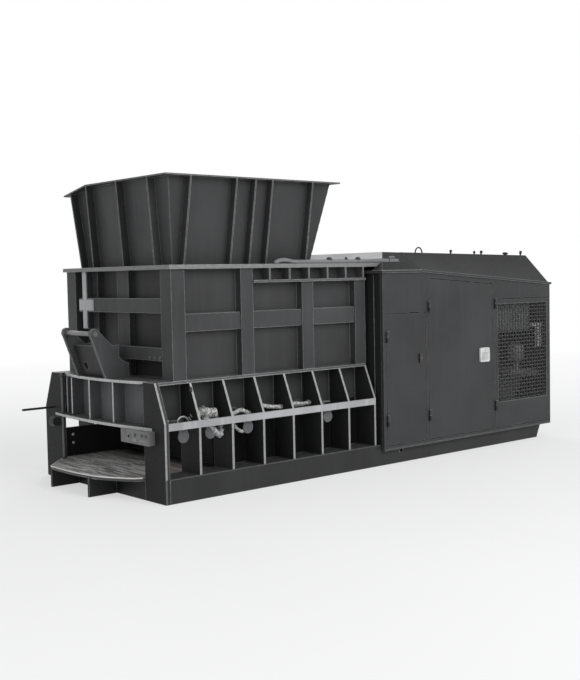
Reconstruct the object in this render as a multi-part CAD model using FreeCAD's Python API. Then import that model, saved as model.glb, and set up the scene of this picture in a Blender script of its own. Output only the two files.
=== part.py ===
import FreeCAD, Part
import math
import os

# Hydraulic container shear for scrap, built of welded plate on a skid.
# Working frame: X runs from the discharge head to the power pack, Y from the near
# side to the far side, Z up from the floor. All sizes are in millimetres.
# At the end every piece moves so that the origin is the middle of the footprint.

# Skid
frame_width = 1850.0
skid_end_gap = 170.0
skid_rake = 90.0
skid_height = 185.0
skid_web = 25.0
skid_flange = 150.0
skid_beam_width = 110.0
skid_beam_count = 10
floor_plate = 25.0
lift_bore_radius = 22.0
lift_bore_x = 2560.0
lift_bore_z = 112.0

# Ribbed bays along both sides
bay_count = 7
bay_pitch = 318.0
rib_plate = 20.0
knee_height = 613.0
deck_height = 916.0
bay_inset = 125.0
bay_depth = 270.0
band_height = 56.0
band_plate = 20.0
deck_plate = 22.0
shear_wall_plate = 25.0
open_bay_count = 2
bed_height = 545.0
bed_set_back = 64.0

# Discharge head
cheek_plate = 40.0
cheek_width = 280.0
sill_height = 150.0
ring_overhang = 46.0
ring_radius = 2320.0
ring_low_overhang = 62.0
ring_low_radius = 4625.0
ring_low_end_inset = 170.0
ring_plate = 22.0
ring_rib_depth = 120.0
ring_rib_plate = 18.0
ring_rib_set_back = 10.0
ring_wall_plate = 20.0
ring_rib_places = [-604.0, -239.0, 110.0, 480.0, 622.0]
apron_plate = 25.0
apron_reach = 240.0
foot_plate = 20.0
foot_reach = 250.0
foot_places = [-225.0, 375.0]
knife_length = 390.0
knife_height = 105.0
knife_depth = 60.0
knife_y = 130.0
knife_bolt_radius = 14.0
knife_bolt_share = 0.7
pivot_block_radius = 45.0
pivot_block_length = 62.0
rod_radius = 10.0
rod_length = 300.0
rod_edge_distance = 150.0

# Lifting bracket on the head
bracket_near_y = 753.0
bracket_far_y = 1188.0
bracket_plate = 25.0
bracket_nose_radius = 42.0
bracket_pin_radius = 20.0
bracket_pin_clearance = 0.05
bracket_pin_end = 15.0
bracket_pin_height = 362.0
bracket_pin_x = -132.0
bracket_front_foot = 40.0
bracket_step_depth = 88.0
bracket_step_height = 262.0
bracket_horn = 8.0
bracket_shelf_height = 122.0
bracket_shelf_depth = 150.0
bracket_shelf_fall = 6.0
bracket_step_slope = 38.0
web_plate = 25.0
web_hole_radius = 30.0
web_height = 262.0
web_lean = 80.0
web_hole_inset = 110.0
web_hole_height = 90.0

# Charging box
box_front = 178.0
box_length = 2070.0
box_wall = 25.0
post_width = 126.0
post_stand_off = 72.0
post_places = [0.0, 675.0, 1330.0, 1950.0]
full_post_count = 2
side_band_bottom = 1290.0
side_band_height = 138.0
side_band_recess = 14.0
corner_width = 146.0
end_stand_off = 115.0
end_column_depth = 46.0
end_column_width = 176.0
end_column_far_place = 397.0
end_column_far_width = 138.0
end_band_recess = 6.0
end_band_bottom = 1437.0
end_band_height = 116.0
end_band_far_gap = 319.0
low_band_bottom = 1064.0
low_band_height = 102.0
end_bar_width = 80.0
end_bar_place = 470.0
end_bar_bottom = 1290.0

# Flange on the charging box and the deck behind the hopper
flange_top = 1810.0
flange_plate = 32.0
flange_overhang = 24.0
deck_length = 2495.0
ledge_plate = 20.0
ledge_top = 1680.0
ledge_width = 92.0
deck_rib_plate = 16.0
deck_rib_pitch = 215.0
deck_rib_first = 959.0
deck_rib_count = 6
cover_plate = 30.0
cover_gap = 120.0
cover_width = 1300.0
cover_end_distance = 60.0

# Hopper
hopper_height = 702.0
hopper_plate = 14.0
hopper_top_front = 243.0
hopper_top_length = 1687.0
hopper_top_inset = 220.0
hopper_flare_front = 72.0
hopper_flare_rear = 185.0
hopper_flare_near = 80.0
hopper_flare_far = 45.0
hopper_lip = 70.0
hopper_far_lip = 100.0
hopper_lip_plate = 12.0
hopper_drop = 50.0
hopper_drop_width = 271.0
hopper_rib_plate = 14.0
hopper_side_rib_places = [160.0, 614.0, 810.0, 988.0, 1430.0]
hopper_side_rib_lean = -30.0
hopper_end_rib_places = [190.0, 645.0, 1125.0]
hopper_end_rib_lean = 30.0

# Power pack enclosure
pack_front = 2300.0
pack_length = 2460.0
pack_overhang = 50.0
pack_bottom = 135.0
pack_sheet = 30.0
pack_eave = 1719.0
pack_level_length = 530.0
pack_eave_drop = 147.0
eave_trim = 22.0
eave_trim_overhang = 14.0
hood_foot_inset = 12.0
hood_rise = 171.0
hood_end_rise = 281.0
hood_hip = 302.0
hood_inset = 292.0
hood_clearance = 8.0
eye_radius = 42.0
eye_bore_radius = 25.0
eye_sink = 12.0
eye_share = 0.337
eye_thickness = 18.0
stud_radius = 11.0
stud_height = 48.0
stud_shares = [0.512, 0.652, 0.695, 0.850, 0.967]
stud_inset = 30.0

# Doors of the enclosure
door_gap = 8.0
door_plate = 30.0
door_bottom = 178.0
small_door_place = 44.0
small_door_width = 512.0
small_door_top = 1351.0
main_door_place = 600.0
main_door_width = 922.0
main_door_eave_gap = 54.0
mesh_door_place = 1564.0
mesh_door_end_gap = 22.0
mesh_door_top = 1438.0
mesh_border = 42.0
mesh_bottom_border = 190.0
mesh_wire = 8.0
mesh_thickness = 4.0
mesh_columns = 9
mesh_rows = 11
hinge_offset = 13.0
hinge_radius = 10.0
hinge_pin_radius = 5.0
hinge_pin_clearance = 0.08
hinge_pin_length = 40.0
hinge_height = 100.0
hinge_split = 0.5
hinge_low = 400.0
hinge_small_high = 1150.0
hinge_high = 1400.0
hinge_leaf = 4.0
hinge_leaf_width = 34.0
hinge_fixed_leaf_width = 17.0
latch_width = 34.0
latch_height = 80.0
latch_depth = 16.0
latch_middle = 937.0
latch_edge_distance = 62.0
paddle_width = 140.0
paddle_height = 137.0
paddle_middle = 911.0

# Machinery that shows behind the mesh door
tank_share = 0.485
tank_width = 620.0
tank_depth = 330.0
tank_top = 1310.0
gauge_width = 40.0
gauge_height = 190.0
gauge_depth = 18.0
gauge_edge_distance = 40.0
motor_radius = 150.0
motor_gap = 30.0
motor_end_gap = 40.0
motor_depth = 420.0
motor_axis_height = 560.0
motor_foot_inset = 60.0
motor_foot_width = 240.0

# Derived places
centre_y = frame_width / 2
bay_length = bay_count * bay_pitch + rib_plate
open_length = open_bay_count * bay_pitch
outlet_width = frame_width - 2 * cheek_width
deck_under = deck_height - deck_plate
ring_low_under = bed_height + 2.0
ring_low_top = ring_low_under + ring_plate
apron_top = sill_height + apron_plate
bracket_bore_radius = bracket_pin_radius + bracket_pin_clearance
box_end = box_front + box_length
box_face = bay_inset
wall_face = box_face + post_stand_off
wall_inside = wall_face + box_wall
end_wall_face = box_front + end_stand_off
column_face = end_wall_face - end_column_depth
flange_under = flange_top - flange_plate
ledge_under = ledge_top - ledge_plate
deck_end = box_front + deck_length
hopper_rim = flange_top + hopper_height - hopper_lip_plate
hopper_low_rim = hopper_rim - hopper_drop
cover_front = hopper_top_front + hopper_top_length - hopper_flare_rear + cover_gap
pack_end = pack_front + pack_length
skid_length = pack_end - skid_end_gap
pack_face = -pack_overhang
pack_far_face = frame_width + pack_overhang
pack_kink = pack_front + pack_level_length
mesh_door_width = pack_length - mesh_door_end_gap - mesh_door_place
machinery_front = pack_front + mesh_door_place
machinery_length = pack_end - pack_sheet - machinery_front
hinge_y = pack_face - hinge_offset
door_names = ["small", "main", "mesh"]


def vector(x, y, z):
    return FreeCAD.Vector(x, y, z)


def box(x0, x1, y0, y1, z0, z1):
    """Rectangular plate or bar between two corners."""
    return Part.makeBox(x1 - x0, y1 - y0, z1 - z0, vector(x0, y0, z0))


def prism(points, direction):
    """Flat outline of points carried along a direction."""
    outline = Part.makePolygon([vector(*p) for p in points] + [vector(*points[0])])
    return Part.Face(outline).extrude(vector(*direction))


def profile_x(points, x0, thickness):
    """Outline given as (y, z) pairs, extruded along X from x0."""
    return prism([(x0, y, z) for y, z in points], (thickness, 0, 0))


def profile_y(points, y0, thickness):
    """Outline given as (x, z) pairs, extruded along Y from y0."""
    return prism([(x, y0, z) for x, z in points], (0, thickness, 0))


def round_bar(radius, length, base, direction):
    return Part.makeCylinder(radius, length, vector(*base), vector(*direction))


def mirrored(shape):
    """The same piece on the far side of the machine."""
    return shape.mirror(vector(0, centre_y, 0), vector(0, 1, 0))


def group(shapes):
    return Part.makeCompound(shapes)


def pair(shape):
    """A piece of the near side together with its mirror image."""
    return group([shape, mirrored(shape)])


def facet(points):
    outline = Part.makePolygon([vector(*p) for p in points] + [vector(*points[0])])
    return Part.Face(outline)


def block_between(first, second):
    """Closed solid between two flat outlines that have as many corners."""
    count = len(first)
    faces = [facet(first), facet(second[::-1])]
    for i in range(count):
        j = (i + 1) % count
        faces.append(facet([first[i], second[i], first[j]]))
        faces.append(facet([second[i], second[j], first[j]]))
    solid = Part.Solid(Part.Shell(faces))
    if solid.Volume < 0:
        solid.reverse()
    return solid.removeSplitter()


# Skid


def skid_rail():
    """Near rail: web with a bottom flange and a raked end, bored for lifting."""
    rake_at_flange = skid_rake * skid_web / skid_height
    web = profile_y([(0, 0), (skid_length, 0), (skid_length + skid_rake, skid_height),
                     (0, skid_height)], 0, skid_web)
    foot = profile_y([(0, 0), (skid_length, 0), (skid_length + rake_at_flange, skid_web),
                      (0, skid_web)], skid_web, skid_flange - skid_web)
    bore = round_bar(lift_bore_radius, skid_web, (lift_bore_x, 0, lift_bore_z), (0, 1, 0))
    head_end = box(0, cheek_plate, 0, skid_flange, 0, skid_height)
    return web.fuse(foot).cut(bore).cut(head_end).removeSplitter()


def skid_floor():
    """Floor plate between the rail webs."""
    return box(cheek_plate, skid_length, skid_web, frame_width - skid_web,
               skid_height - floor_plate, skid_height)


def skid_beams():
    """Cross beams under the floor plate, between the rail flanges."""
    last = skid_length - skid_beam_width
    step = (last - cheek_plate) / (skid_beam_count - 1)
    beams = []
    for i in range(skid_beam_count):
        x = cheek_plate + i * step
        beams.append(box(x, x + skid_beam_width, skid_flange, frame_width - skid_flange,
                         0, skid_height - floor_plate))
    return group(beams)


# Ribbed side bays


def side_ribs():
    """Ribs of the near side, upright to the knee and slanting in above it."""
    inner = bay_depth - shear_wall_plate
    outline = [(0, skid_height), (0, knee_height), (bay_inset, deck_height), (inner, deck_height),
               (inner, skid_height)]
    band_notch = box(0, bay_length, 0, band_plate, knee_height - band_height, knee_height)
    strip_notch = box(0, bay_length, 0, bay_depth, deck_under, deck_height)
    ribs = []
    for i in range(1, bay_count + 1):
        rib = profile_x(outline, i * bay_pitch, rib_plate)
        ribs.append(rib.cut(band_notch).cut(strip_notch))
    return ribs


def side_band():
    return box(cheek_plate, bay_length, 0, band_plate, knee_height - band_height, knee_height)


def bay_top():
    """Deck strip over the bays, from the slanted edge to the inner face of the wall."""
    slope = bay_inset / (deck_height - knee_height)
    outline = [(bay_inset - slope * deck_plate, deck_under), (bay_inset, deck_height),
               (bay_depth, deck_height), (bay_depth, deck_under)]
    return profile_x(outline, cheek_plate, bay_length - cheek_plate)


def shear_wall():
    """Wall behind the bays, open below in the bays next to the outlet."""
    outline = [(cheek_plate, bed_height), (open_length, bed_height), (open_length, skid_height),
               (bay_length, skid_height), (bay_length, deck_under), (cheek_plate, deck_under)]
    return profile_y(outline, bay_depth - shear_wall_plate, shear_wall_plate)


def press_bed():
    """Closed bed under the pressing chamber, behind the two open bays."""
    return box(open_length + bed_set_back, bay_length, bay_depth, frame_width - bay_depth,
               skid_height, bed_height)


# Discharge head


def cheek():
    """Near cheek of the head: full height end plate with the knee outline."""
    outline = [(0, 0), (0, knee_height), (bay_inset, deck_height), (cheek_width, deck_height),
               (cheek_width, 0)]
    return profile_x(outline, 0, cheek_plate)


def sill():
    """End plate under the apron, between the cheeks."""
    return box(0, cheek_plate, cheek_width, frame_width - cheek_width, 0, sill_height)


def arc_x(overhang, radius, y):
    """Distance along X of a curved front edge at y."""
    return -overhang + radius - math.sqrt(radius ** 2 - (y - centre_y) ** 2)


def curved_plate(overhang, radius, inset, back, z0, z1):
    """Plate with a bowed front edge and a straight back edge."""
    y0 = inset
    y1 = frame_width - inset
    front = Part.Arc(vector(arc_x(overhang, radius, y0), y0, z0), vector(-overhang, centre_y, z0),
                     vector(arc_x(overhang, radius, y1), y1, z0)).toShape()
    rest = Part.makePolygon([vector(arc_x(overhang, radius, y1), y1, z0), vector(back, y1, z0),
                             vector(back, y0, z0), vector(arc_x(overhang, radius, y0), y0, z0)])
    return Part.Face(Part.Wire([front] + rest.Edges)).extrude(vector(0, 0, z1 - z0))


def beside_cheeks(z0, z1):
    """Space of the cheeks and of everything outside the walls behind them."""
    cheeks = box(0, cheek_plate, -frame_width, cheek_width, z0, z1)
    bays = box(cheek_plate, bay_length, -frame_width, bay_depth, z0, z1)
    return [cheeks, mirrored(cheeks), bays, mirrored(bays)]


def ring_wall_back():
    return arc_x(ring_overhang, ring_radius, bay_depth) + ring_rib_depth + ring_wall_plate


def ring_low():
    """Lower ring plate, whose ends run in front of the cheeks."""
    plate = curved_plate(ring_low_overhang, ring_low_radius, ring_low_end_inset, ring_wall_back(),
                         ring_low_under, ring_low_top)
    return plate.cut(beside_cheeks(ring_low_under, ring_low_top))


def head_deck():
    """Top plate of the head, from its bowed front edge to the charging box."""
    plate = curved_plate(ring_overhang, ring_radius, bay_depth, end_wall_face + box_wall,
                         deck_under, deck_height)
    return plate.cut(beside_cheeks(deck_under, deck_height))


def ring_wall():
    """Bowed wall behind the ring ribs."""
    z0 = ring_low_top
    outer = curved_plate(ring_overhang - ring_rib_depth, ring_radius, bay_depth,
                         ring_wall_back() + ring_wall_plate, z0, deck_under)
    inner = curved_plate(ring_overhang - ring_rib_depth - ring_wall_plate, ring_radius, bay_depth,
                         ring_wall_back() + 2 * ring_wall_plate, z0, deck_under)
    return outer.cut(inner)


def ring_ribs():
    """Upright ribs of the ring, between its two plates."""
    behind = curved_plate(ring_overhang - ring_rib_depth, ring_radius, bay_depth,
                          ring_wall_back() + ring_wall_plate, ring_low_top, deck_under)
    ribs = []
    for place in ring_rib_places:
        y = centre_y + place
        x = max(arc_x(ring_overhang, ring_radius, y - ring_rib_plate / 2),
                arc_x(ring_low_overhang, ring_low_radius, y - ring_rib_plate / 2))
        rib = box(x + ring_rib_set_back, ring_wall_back(), y - ring_rib_plate / 2,
                  y + ring_rib_plate / 2, ring_low_top, deck_under)
        ribs.append(rib.cut(behind))
    return group(ribs)


def apron_x(y):
    """Front edge of the apron, a shallow bow between the cheeks."""
    return -apron_reach * (1 - ((y - centre_y) / (outlet_width / 2)) ** 2)


def apron():
    """Worn discharge tongue with a bowed front edge, on the sill of the outlet."""
    y0 = cheek_width
    y1 = frame_width - cheek_width
    front = Part.Arc(vector(0, y0, sill_height), vector(-apron_reach, centre_y, sill_height),
                     vector(0, y1, sill_height)).toShape()
    rest = Part.makePolygon([vector(0, y1, sill_height), vector(cheek_plate, y1, sill_height),
                             vector(cheek_plate, y0, sill_height), vector(0, y0, sill_height)])
    return Part.Face(Part.Wire([front] + rest.Edges)).extrude(vector(0, 0, apron_plate))


def apron_feet():
    """Gusset plates that carry the overhang of the apron."""
    feet = []
    for place in foot_places:
        y = centre_y + place
        outline = [(0, 0), (-foot_reach, 0), (apron_x(y) + foot_plate, sill_height), (0, sill_height)]
        feet.append(profile_y(outline, y, foot_plate))
    return group(feet)


def knife_block():
    """Fixed knife carrier under the near end of the ring, bored for a bolt."""
    z0 = ring_low_under - knife_height
    body = box(-knife_depth, 0, knife_y, knife_y + knife_length, z0, ring_low_under)
    bore = round_bar(knife_bolt_radius, knife_depth,
                     (-knife_depth, knife_y + knife_bolt_share * knife_length, z0 + knife_height / 2), (1, 0, 0))
    return body.cut(bore)


def pivot_block():
    """Rounded block under the far end of the ring."""
    y = frame_width - cheek_width
    return round_bar(pivot_block_radius, pivot_block_length,
                     (-pivot_block_radius, y, ring_low_under - pivot_block_radius), (0, 1, 0))


def gauge_rod():
    """Bar that stands out of the far cheek at knee height."""
    y = frame_width - rod_edge_distance
    return round_bar(rod_radius, rod_length, (-rod_length, y, knee_height), (1, 0, 0))


# Lifting bracket


def bracket_cheek(y):
    """Bracket plate: leaning front, rounded nose at the pin and a stepped back."""
    z = deck_height
    nose_x = bracket_pin_x
    nose_z = z + bracket_pin_height
    nose = bracket_nose_radius
    step = z + bracket_step_height
    shelf = z + bracket_shelf_height
    tangent = nose * math.sqrt(0.5)
    outline = [(-bracket_front_foot, z), (nose_x - nose, nose_z), (nose_x, nose_z),
               (nose_x + tangent, nose_z + tangent), (bracket_step_depth / 3, step),
               (2 * bracket_step_depth / 3, step), (bracket_step_depth, step + bracket_horn),
               (bracket_step_depth, shelf + bracket_step_slope), (bracket_shelf_depth, shelf),
               (box_front, shelf - bracket_shelf_fall), (box_front, z)]
    plate = profile_y(outline, y, bracket_plate)
    end = round_bar(nose, bracket_plate, (nose_x, y, nose_z), (0, 1, 0))
    bore = round_bar(bracket_bore_radius, bracket_plate, (nose_x, y, nose_z), (0, 1, 0))
    return plate.fuse(end).cut(bore).removeSplitter()


def bracket_web():
    """Leaning web between the two bracket plates, with one round hole."""
    z = deck_height
    y0 = bracket_near_y + bracket_plate
    outline = [(0, z), (web_plate, z), (web_plate - web_lean, z + web_height),
               (-web_lean, z + web_height)]
    web = profile_y(outline, y0, bracket_far_y - y0)
    hole = round_bar(web_hole_radius, 4 * web_lean, (-2 * web_lean, bracket_far_y - web_hole_inset, z + web_hole_height),
                     (1, 0, 0))
    return web.cut(hole)


def bracket_pin():
    """Pin through the noses of both bracket plates."""
    length = bracket_far_y + bracket_plate - bracket_near_y + 2 * bracket_pin_end
    return round_bar(bracket_pin_radius, length,
                     (bracket_pin_x, bracket_near_y - bracket_pin_end, deck_height + bracket_pin_height),
                     (0, 1, 0))


# Charging box


def box_posts():
    """Angle posts at the corners, posts along the sides and columns of the end wall."""
    posts = []
    for i, place in enumerate(post_places):
        x = box_front + place
        top = flange_under if i < full_post_count else ledge_under
        post = box(x, x + post_width, box_face, wall_face, deck_height, top)
        if i == 0:
            leg = box(x, end_wall_face, box_face, box_face + corner_width, deck_height, top)
            wall = box(end_wall_face, x + post_width, wall_face, box_face + corner_width, deck_height, top)
            post = post.fuse(leg).cut(wall).removeSplitter()
        posts.append(post)
    posts += [mirrored(post) for post in posts]
    middle = centre_y - end_column_width / 2
    far = centre_y + end_column_far_place
    for y, width in ((middle, end_column_width), (far, end_column_far_width)):
        posts.append(box(column_face, end_wall_face, y, y + width, deck_height, flange_under))
    return group(posts)


def side_bands():
    """Horizontal stiffeners between the posts of the near side."""
    bands = []
    for first, second in zip(post_places[:-1], post_places[1:]):
        bands.append(box(box_front + first + post_width, box_front + second,
                         box_face + side_band_recess, wall_face,
                         side_band_bottom, side_band_bottom + side_band_height))
    return bands


def end_bands():
    """Stiffeners and the short bar across the columns of the head end wall."""
    x0 = box_front + end_band_recess
    y0 = box_face + corner_width
    upper = box(x0, column_face, y0, frame_width - end_band_far_gap, end_band_bottom,
                end_band_bottom + end_band_height)
    lower = box(x0, column_face, y0, centre_y, low_band_bottom, low_band_bottom + low_band_height)
    bar_y = centre_y + end_bar_place
    bar = box(x0, column_face, bar_y, bar_y + end_bar_width, end_bar_bottom, flange_under)
    return [upper.fuse(bar).removeSplitter(), lower]


def box_bands():
    near = side_bands()
    return group(near + [mirrored(band) for band in near] + end_bands())


def box_side_wall():
    """Near wall plate of the charging box."""
    return box(end_wall_face, box_end, wall_face, wall_inside, deck_height, flange_under)


def box_end_wall():
    """Head end wall plate of the charging box, on the deck."""
    return box(end_wall_face, end_wall_face + box_wall, wall_inside, frame_width - wall_inside,
               deck_height, flange_under)


def box_rear_wall():
    """Wall at the power pack end of the charging box, down to the bed."""
    upper = box(box_end - box_wall, box_end, wall_inside, frame_width - wall_inside,
                deck_height, flange_under)
    lower = box(box_end - box_wall, box_end, bay_depth, frame_width - bay_depth,
                bed_height, deck_height)
    return upper.fuse(lower).removeSplitter()


def deck_flange():
    """Thick flange round the top of the charging box, carried on as a deck."""
    y0 = box_face - flange_overhang
    plate = box(box_front - flange_overhang, deck_end, y0, frame_width - y0, flange_under, flange_top)
    x0, x1, y0, y1 = hopper_plan(0)
    t = hopper_plate
    return plate.cut(box(x0 + t, x1 - t, y0 + t, y1 - t, flange_under, flange_top))


def deck_ledge():
    """Narrow ledge along the near side with the short ribs that it carries."""
    x0 = box_front + post_places[1] + post_width
    y0 = wall_face - ledge_width
    pieces = [box(x0, box_end, y0, wall_face, ledge_under, ledge_top)]
    for i in range(deck_rib_count):
        x = box_front + deck_rib_first + i * deck_rib_pitch
        pieces.append(box(x, x + deck_rib_plate, y0, wall_face, ledge_top, flange_under))
    return pieces[0].fuse(pieces[1:]).removeSplitter()


def deck_cover():
    """Raised plate on the deck between the hopper and the power pack."""
    return box(cover_front, deck_end - cover_end_distance, centre_y - cover_width / 2,
               centre_y + cover_width / 2, flange_top, flange_top + cover_plate)


# Hopper


def hopper_plan(level):
    """Outer faces of the hopper at the foot (0) or the rim (1): x0, x1, y0, y1."""
    x0 = hopper_top_front + hopper_flare_front * (1 - level)
    x1 = hopper_top_front + hopper_top_length - hopper_flare_rear * (1 - level)
    y0 = hopper_top_inset + hopper_flare_near * (1 - level)
    y1 = frame_width - hopper_top_inset - hopper_flare_far * (1 - level)
    return x0, x1, y0, y1


def hopper_point(level, x_side, y_side, inward):
    """Corner of the hopper at a level, moved inward by the plate's thickness."""
    x0, x1, y0, y1 = hopper_plan(level)
    x = x0 + inward if x_side == 0 else x1 - inward
    y = y0 + inward if y_side == 0 else y1 - inward
    return (x, y, flange_top + level * (hopper_rim - flange_top))


def low_level():
    """Level of the far rim, which lies lower than the other three."""
    return 1 - hopper_drop / (hopper_rim - flange_top)


def drop_start():
    return frame_width - hopper_top_inset - hopper_drop_width


def hopper_side(y_side, level):
    """Side wall of the hopper up to a level."""
    def outline(inward):
        return [hopper_point(0, 0, y_side, inward), hopper_point(0, 1, y_side, inward),
                hopper_point(level, 1, y_side, inward), hopper_point(level, 0, y_side, inward)]
    return block_between(outline(0), outline(hopper_plate))


def hopper_end(x_side):
    """End wall of the hopper, its rim falling to the lower far side."""
    def outline(inward):
        rim_x = hopper_point(1, x_side, 0, inward)[0]
        return [hopper_point(0, x_side, 0, inward), hopper_point(0, x_side, 1, inward),
                hopper_point(low_level(), x_side, 1, inward), (rim_x, drop_start(), hopper_rim),
                hopper_point(1, x_side, 0, inward)]
    return block_between(outline(0), outline(hopper_plate))


def lip_profile(z_low, z_high):
    """(y, z) outline of a band over the rim, bent down at the low far side."""
    y0 = hopper_plan(1)[2] - hopper_lip
    far_wall = hopper_plan(low_level())[3]
    slope = hopper_drop / (far_wall - drop_start())
    y1 = far_wall + hopper_far_lip
    z1 = hopper_low_rim - slope * hopper_far_lip
    return [(y0, hopper_rim + z_low), (drop_start(), hopper_rim + z_low), (y1, z1 + z_low),
            (y1, z1 + z_high), (drop_start(), hopper_rim + z_high), (y0, hopper_rim + z_high)]


def hopper_lip_frame():
    """Flat lip round the rim, bent down towards the lower far side."""
    x0, x1, y0, y1 = hopper_plan(1)
    far_wall = hopper_plan(low_level())[3]
    t = hopper_plate
    sheet = profile_x(lip_profile(0, hopper_lip_plate), x0 - hopper_lip, x1 - x0 + 2 * hopper_lip)
    mouth = box(x0 + t, x1 - t, y0 + t, far_wall - t, flange_top, hopper_rim + hopper_height)
    return sheet.cut(mouth)


def leaning_rib(foot, rim, depth, thickness):
    """Rib plate from a foot point up to a rim point, deep outward and thick sideways."""
    corners = [foot, rim, [r + d for r, d in zip(rim, depth)], [f + d for f, d in zip(foot, depth)]]
    return prism(corners, thickness)


def hopper_ribs():
    """Upright ribs on all four walls of the hopper, under the lip."""
    x0, x1, y0, y1 = hopper_plan(1)
    base_x0, base_x1, base_y0, base_y1 = hopper_plan(0)
    ribs = []
    for place in hopper_side_rib_places:
        x = x0 + place
        foot_x = x + hopper_side_rib_lean
        for foot_y, y, side in ((base_y0, y0, -1), (base_y1, y1, 1)):
            ribs.append(leaning_rib([foot_x, foot_y, flange_top], [x, y, hopper_rim],
                                    [0, side * hopper_lip, 0], [hopper_rib_plate, 0, 0]))
    for place in hopper_end_rib_places:
        y = y0 + place
        foot_y = y + hopper_end_rib_lean
        for foot_x, x, side in ((base_x0, x0, -1), (base_x1, x1, 1)):
            ribs.append(leaning_rib([foot_x, foot_y, flange_top], [x, y, hopper_rim],
                                    [side * hopper_lip, 0, 0], [0, hopper_rib_plate, 0]))
    for foot_x, x, side in ((base_x0, x0, -1), (base_x1, x1, 1)):
        ribs.append(leaning_rib([foot_x, base_y1, flange_top], [x, y1, hopper_rim],
                                [side * hopper_lip, 0, 0], [0, -hopper_rib_plate, 0]))
    above = profile_x(lip_profile(0, hopper_height), 0, hopper_top_front + 2 * hopper_top_length)
    return group([rib.cut(above) for rib in ribs])


# Power pack enclosure


def eave_at(x):
    """Height of the eave: level at first, then falling to the end."""
    if x <= pack_kink:
        return pack_eave
    return pack_eave - pack_eave_drop * (x - pack_kink) / (pack_end - pack_kink)


def panel_outline(x0, x1, bottom, gap):
    """(x, z) outline of a side panel under the eave line, less a gap."""
    points = [(x0, bottom), (x1, bottom), (x1, eave_at(x1) - gap)]
    if x0 < pack_kink < x1:
        points.append((pack_kink, pack_eave - gap))
    points.append((x0, eave_at(x0) - gap))
    return points


def door_outline(name, gap):
    """Outline of a door, or of its doorway when the gap is added all round."""
    places = {"small": small_door_place, "main": main_door_place, "mesh": mesh_door_place}
    widths = {"small": small_door_width, "main": main_door_width, "mesh": mesh_door_width}
    tops = {"small": small_door_top, "mesh": mesh_door_top}
    x0 = pack_front + places[name] - gap
    x1 = pack_front + places[name] + widths[name] + gap
    z0 = door_bottom - gap
    if name == "main":
        return panel_outline(x0, x1, z0, main_door_eave_gap - gap)
    return [(x0, z0), (x1, z0), (x1, tops[name] + gap), (x0, tops[name] + gap)]


def near_wall():
    """Near wall of the enclosure with its three doorways."""
    wall = profile_y(panel_outline(pack_front, pack_end, pack_bottom, 0), pack_face, pack_sheet)
    doorways = [profile_y(door_outline(name, door_gap), pack_face, pack_sheet) for name in door_names]
    return wall.cut(doorways)


def far_wall():
    """Plain far wall of the enclosure."""
    return profile_y(panel_outline(pack_front, pack_end, pack_bottom, 0),
                     pack_far_face - pack_sheet, pack_sheet)


def end_walls():
    """Walls across the enclosure, towards the charging box and at the free end."""
    y0 = pack_face + pack_sheet
    y1 = pack_far_face - pack_sheet
    inner = box(pack_front, pack_front + pack_sheet, y0, y1, skid_height, pack_eave)
    x0 = pack_end - pack_sheet
    outer = profile_y([(x0, pack_bottom), (pack_end, pack_bottom), (pack_end, eave_at(pack_end)),
                       (x0, eave_at(x0))], y0, y1 - y0)
    return group([inner, outer])


def eave_frame_top(x):
    """Top face of the eave sheet at x."""
    return eave_at(x) + eave_trim


def eave_sheet():
    """Sheet over the whole enclosure that stands out as a trim all round."""
    x0 = pack_front - eave_trim_overhang
    x1 = pack_end + eave_trim_overhang
    outline = [(x0, pack_eave), (pack_kink, pack_eave), (x1, eave_at(x1)), (x1, eave_frame_top(x1)),
               (pack_kink, pack_eave + eave_trim), (x0, pack_eave + eave_trim)]
    return profile_y(outline, pack_face - eave_trim_overhang,
                     pack_far_face - pack_face + 2 * eave_trim_overhang)


def hood():
    """Roof hood with hipped sides, notched for the deck that reaches over it."""
    y0 = pack_face + hood_foot_inset
    y1 = pack_far_face - hood_foot_inset
    top_y0 = pack_face + hood_inset
    top_y1 = pack_far_face - hood_inset
    x0 = pack_front + hood_foot_inset
    x1 = pack_end - hood_foot_inset
    top_x0 = pack_front + hood_hip
    foot = pack_eave + eave_trim
    low = eave_frame_top(x1)
    high = hood_top(top_x0)
    kink_high = hood_top(pack_kink)
    end_high = hood_top(x1)
    left = block_between([(x0, y0, foot), (pack_kink, y0, foot), (pack_kink, y1, foot), (x0, y1, foot)],
                         [(top_x0, top_y0, high), (pack_kink, top_y0, kink_high),
                          (pack_kink, top_y1, kink_high), (top_x0, top_y1, high)])
    right = block_between([(pack_kink, y0, foot), (x1, y0, low), (x1, y1, low), (pack_kink, y1, foot)],
                          [(pack_kink, top_y0, kink_high), (x1, top_y0, end_high),
                           (x1, top_y1, end_high), (pack_kink, top_y1, kink_high)])
    edge = box_face - flange_overhang - hood_clearance
    notch = box(0, deck_end + hood_clearance, edge, frame_width - edge, 0,
                flange_top + cover_plate + hood_clearance)
    return left.fuse(right).cut(notch).removeSplitter()


def hood_top(x):
    """Height of the hood's flat top at x."""
    top_x0 = pack_front + hood_hip
    x1 = pack_end - hood_foot_inset
    high = pack_eave + eave_trim + hood_rise
    end_high = eave_frame_top(x1) + hood_end_rise
    return high + (end_high - high) * (x - top_x0) / (x1 - top_x0)


def roof_fittings():
    """Lifting eye and bolted studs along the near edge of the hood's top."""
    y = pack_face + hood_inset + stud_inset
    roof = hood()
    eye_x = pack_front + eye_share * pack_length
    eye_base = (eye_x, y, hood_top(eye_x) + eye_radius - eye_sink)
    ring = round_bar(eye_radius, eye_thickness, eye_base, (0, 1, 0))
    bore = round_bar(eye_bore_radius, eye_thickness, eye_base, (0, 1, 0))
    fittings = [ring.cut([bore, roof])]
    for share in stud_shares:
        x = pack_front + share * pack_length
        stud = round_bar(stud_radius, 2 * stud_height, (x, y, hood_top(x) - stud_height), (0, 0, 1))
        fittings.append(stud.cut(roof))
    return group(fittings)


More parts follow.
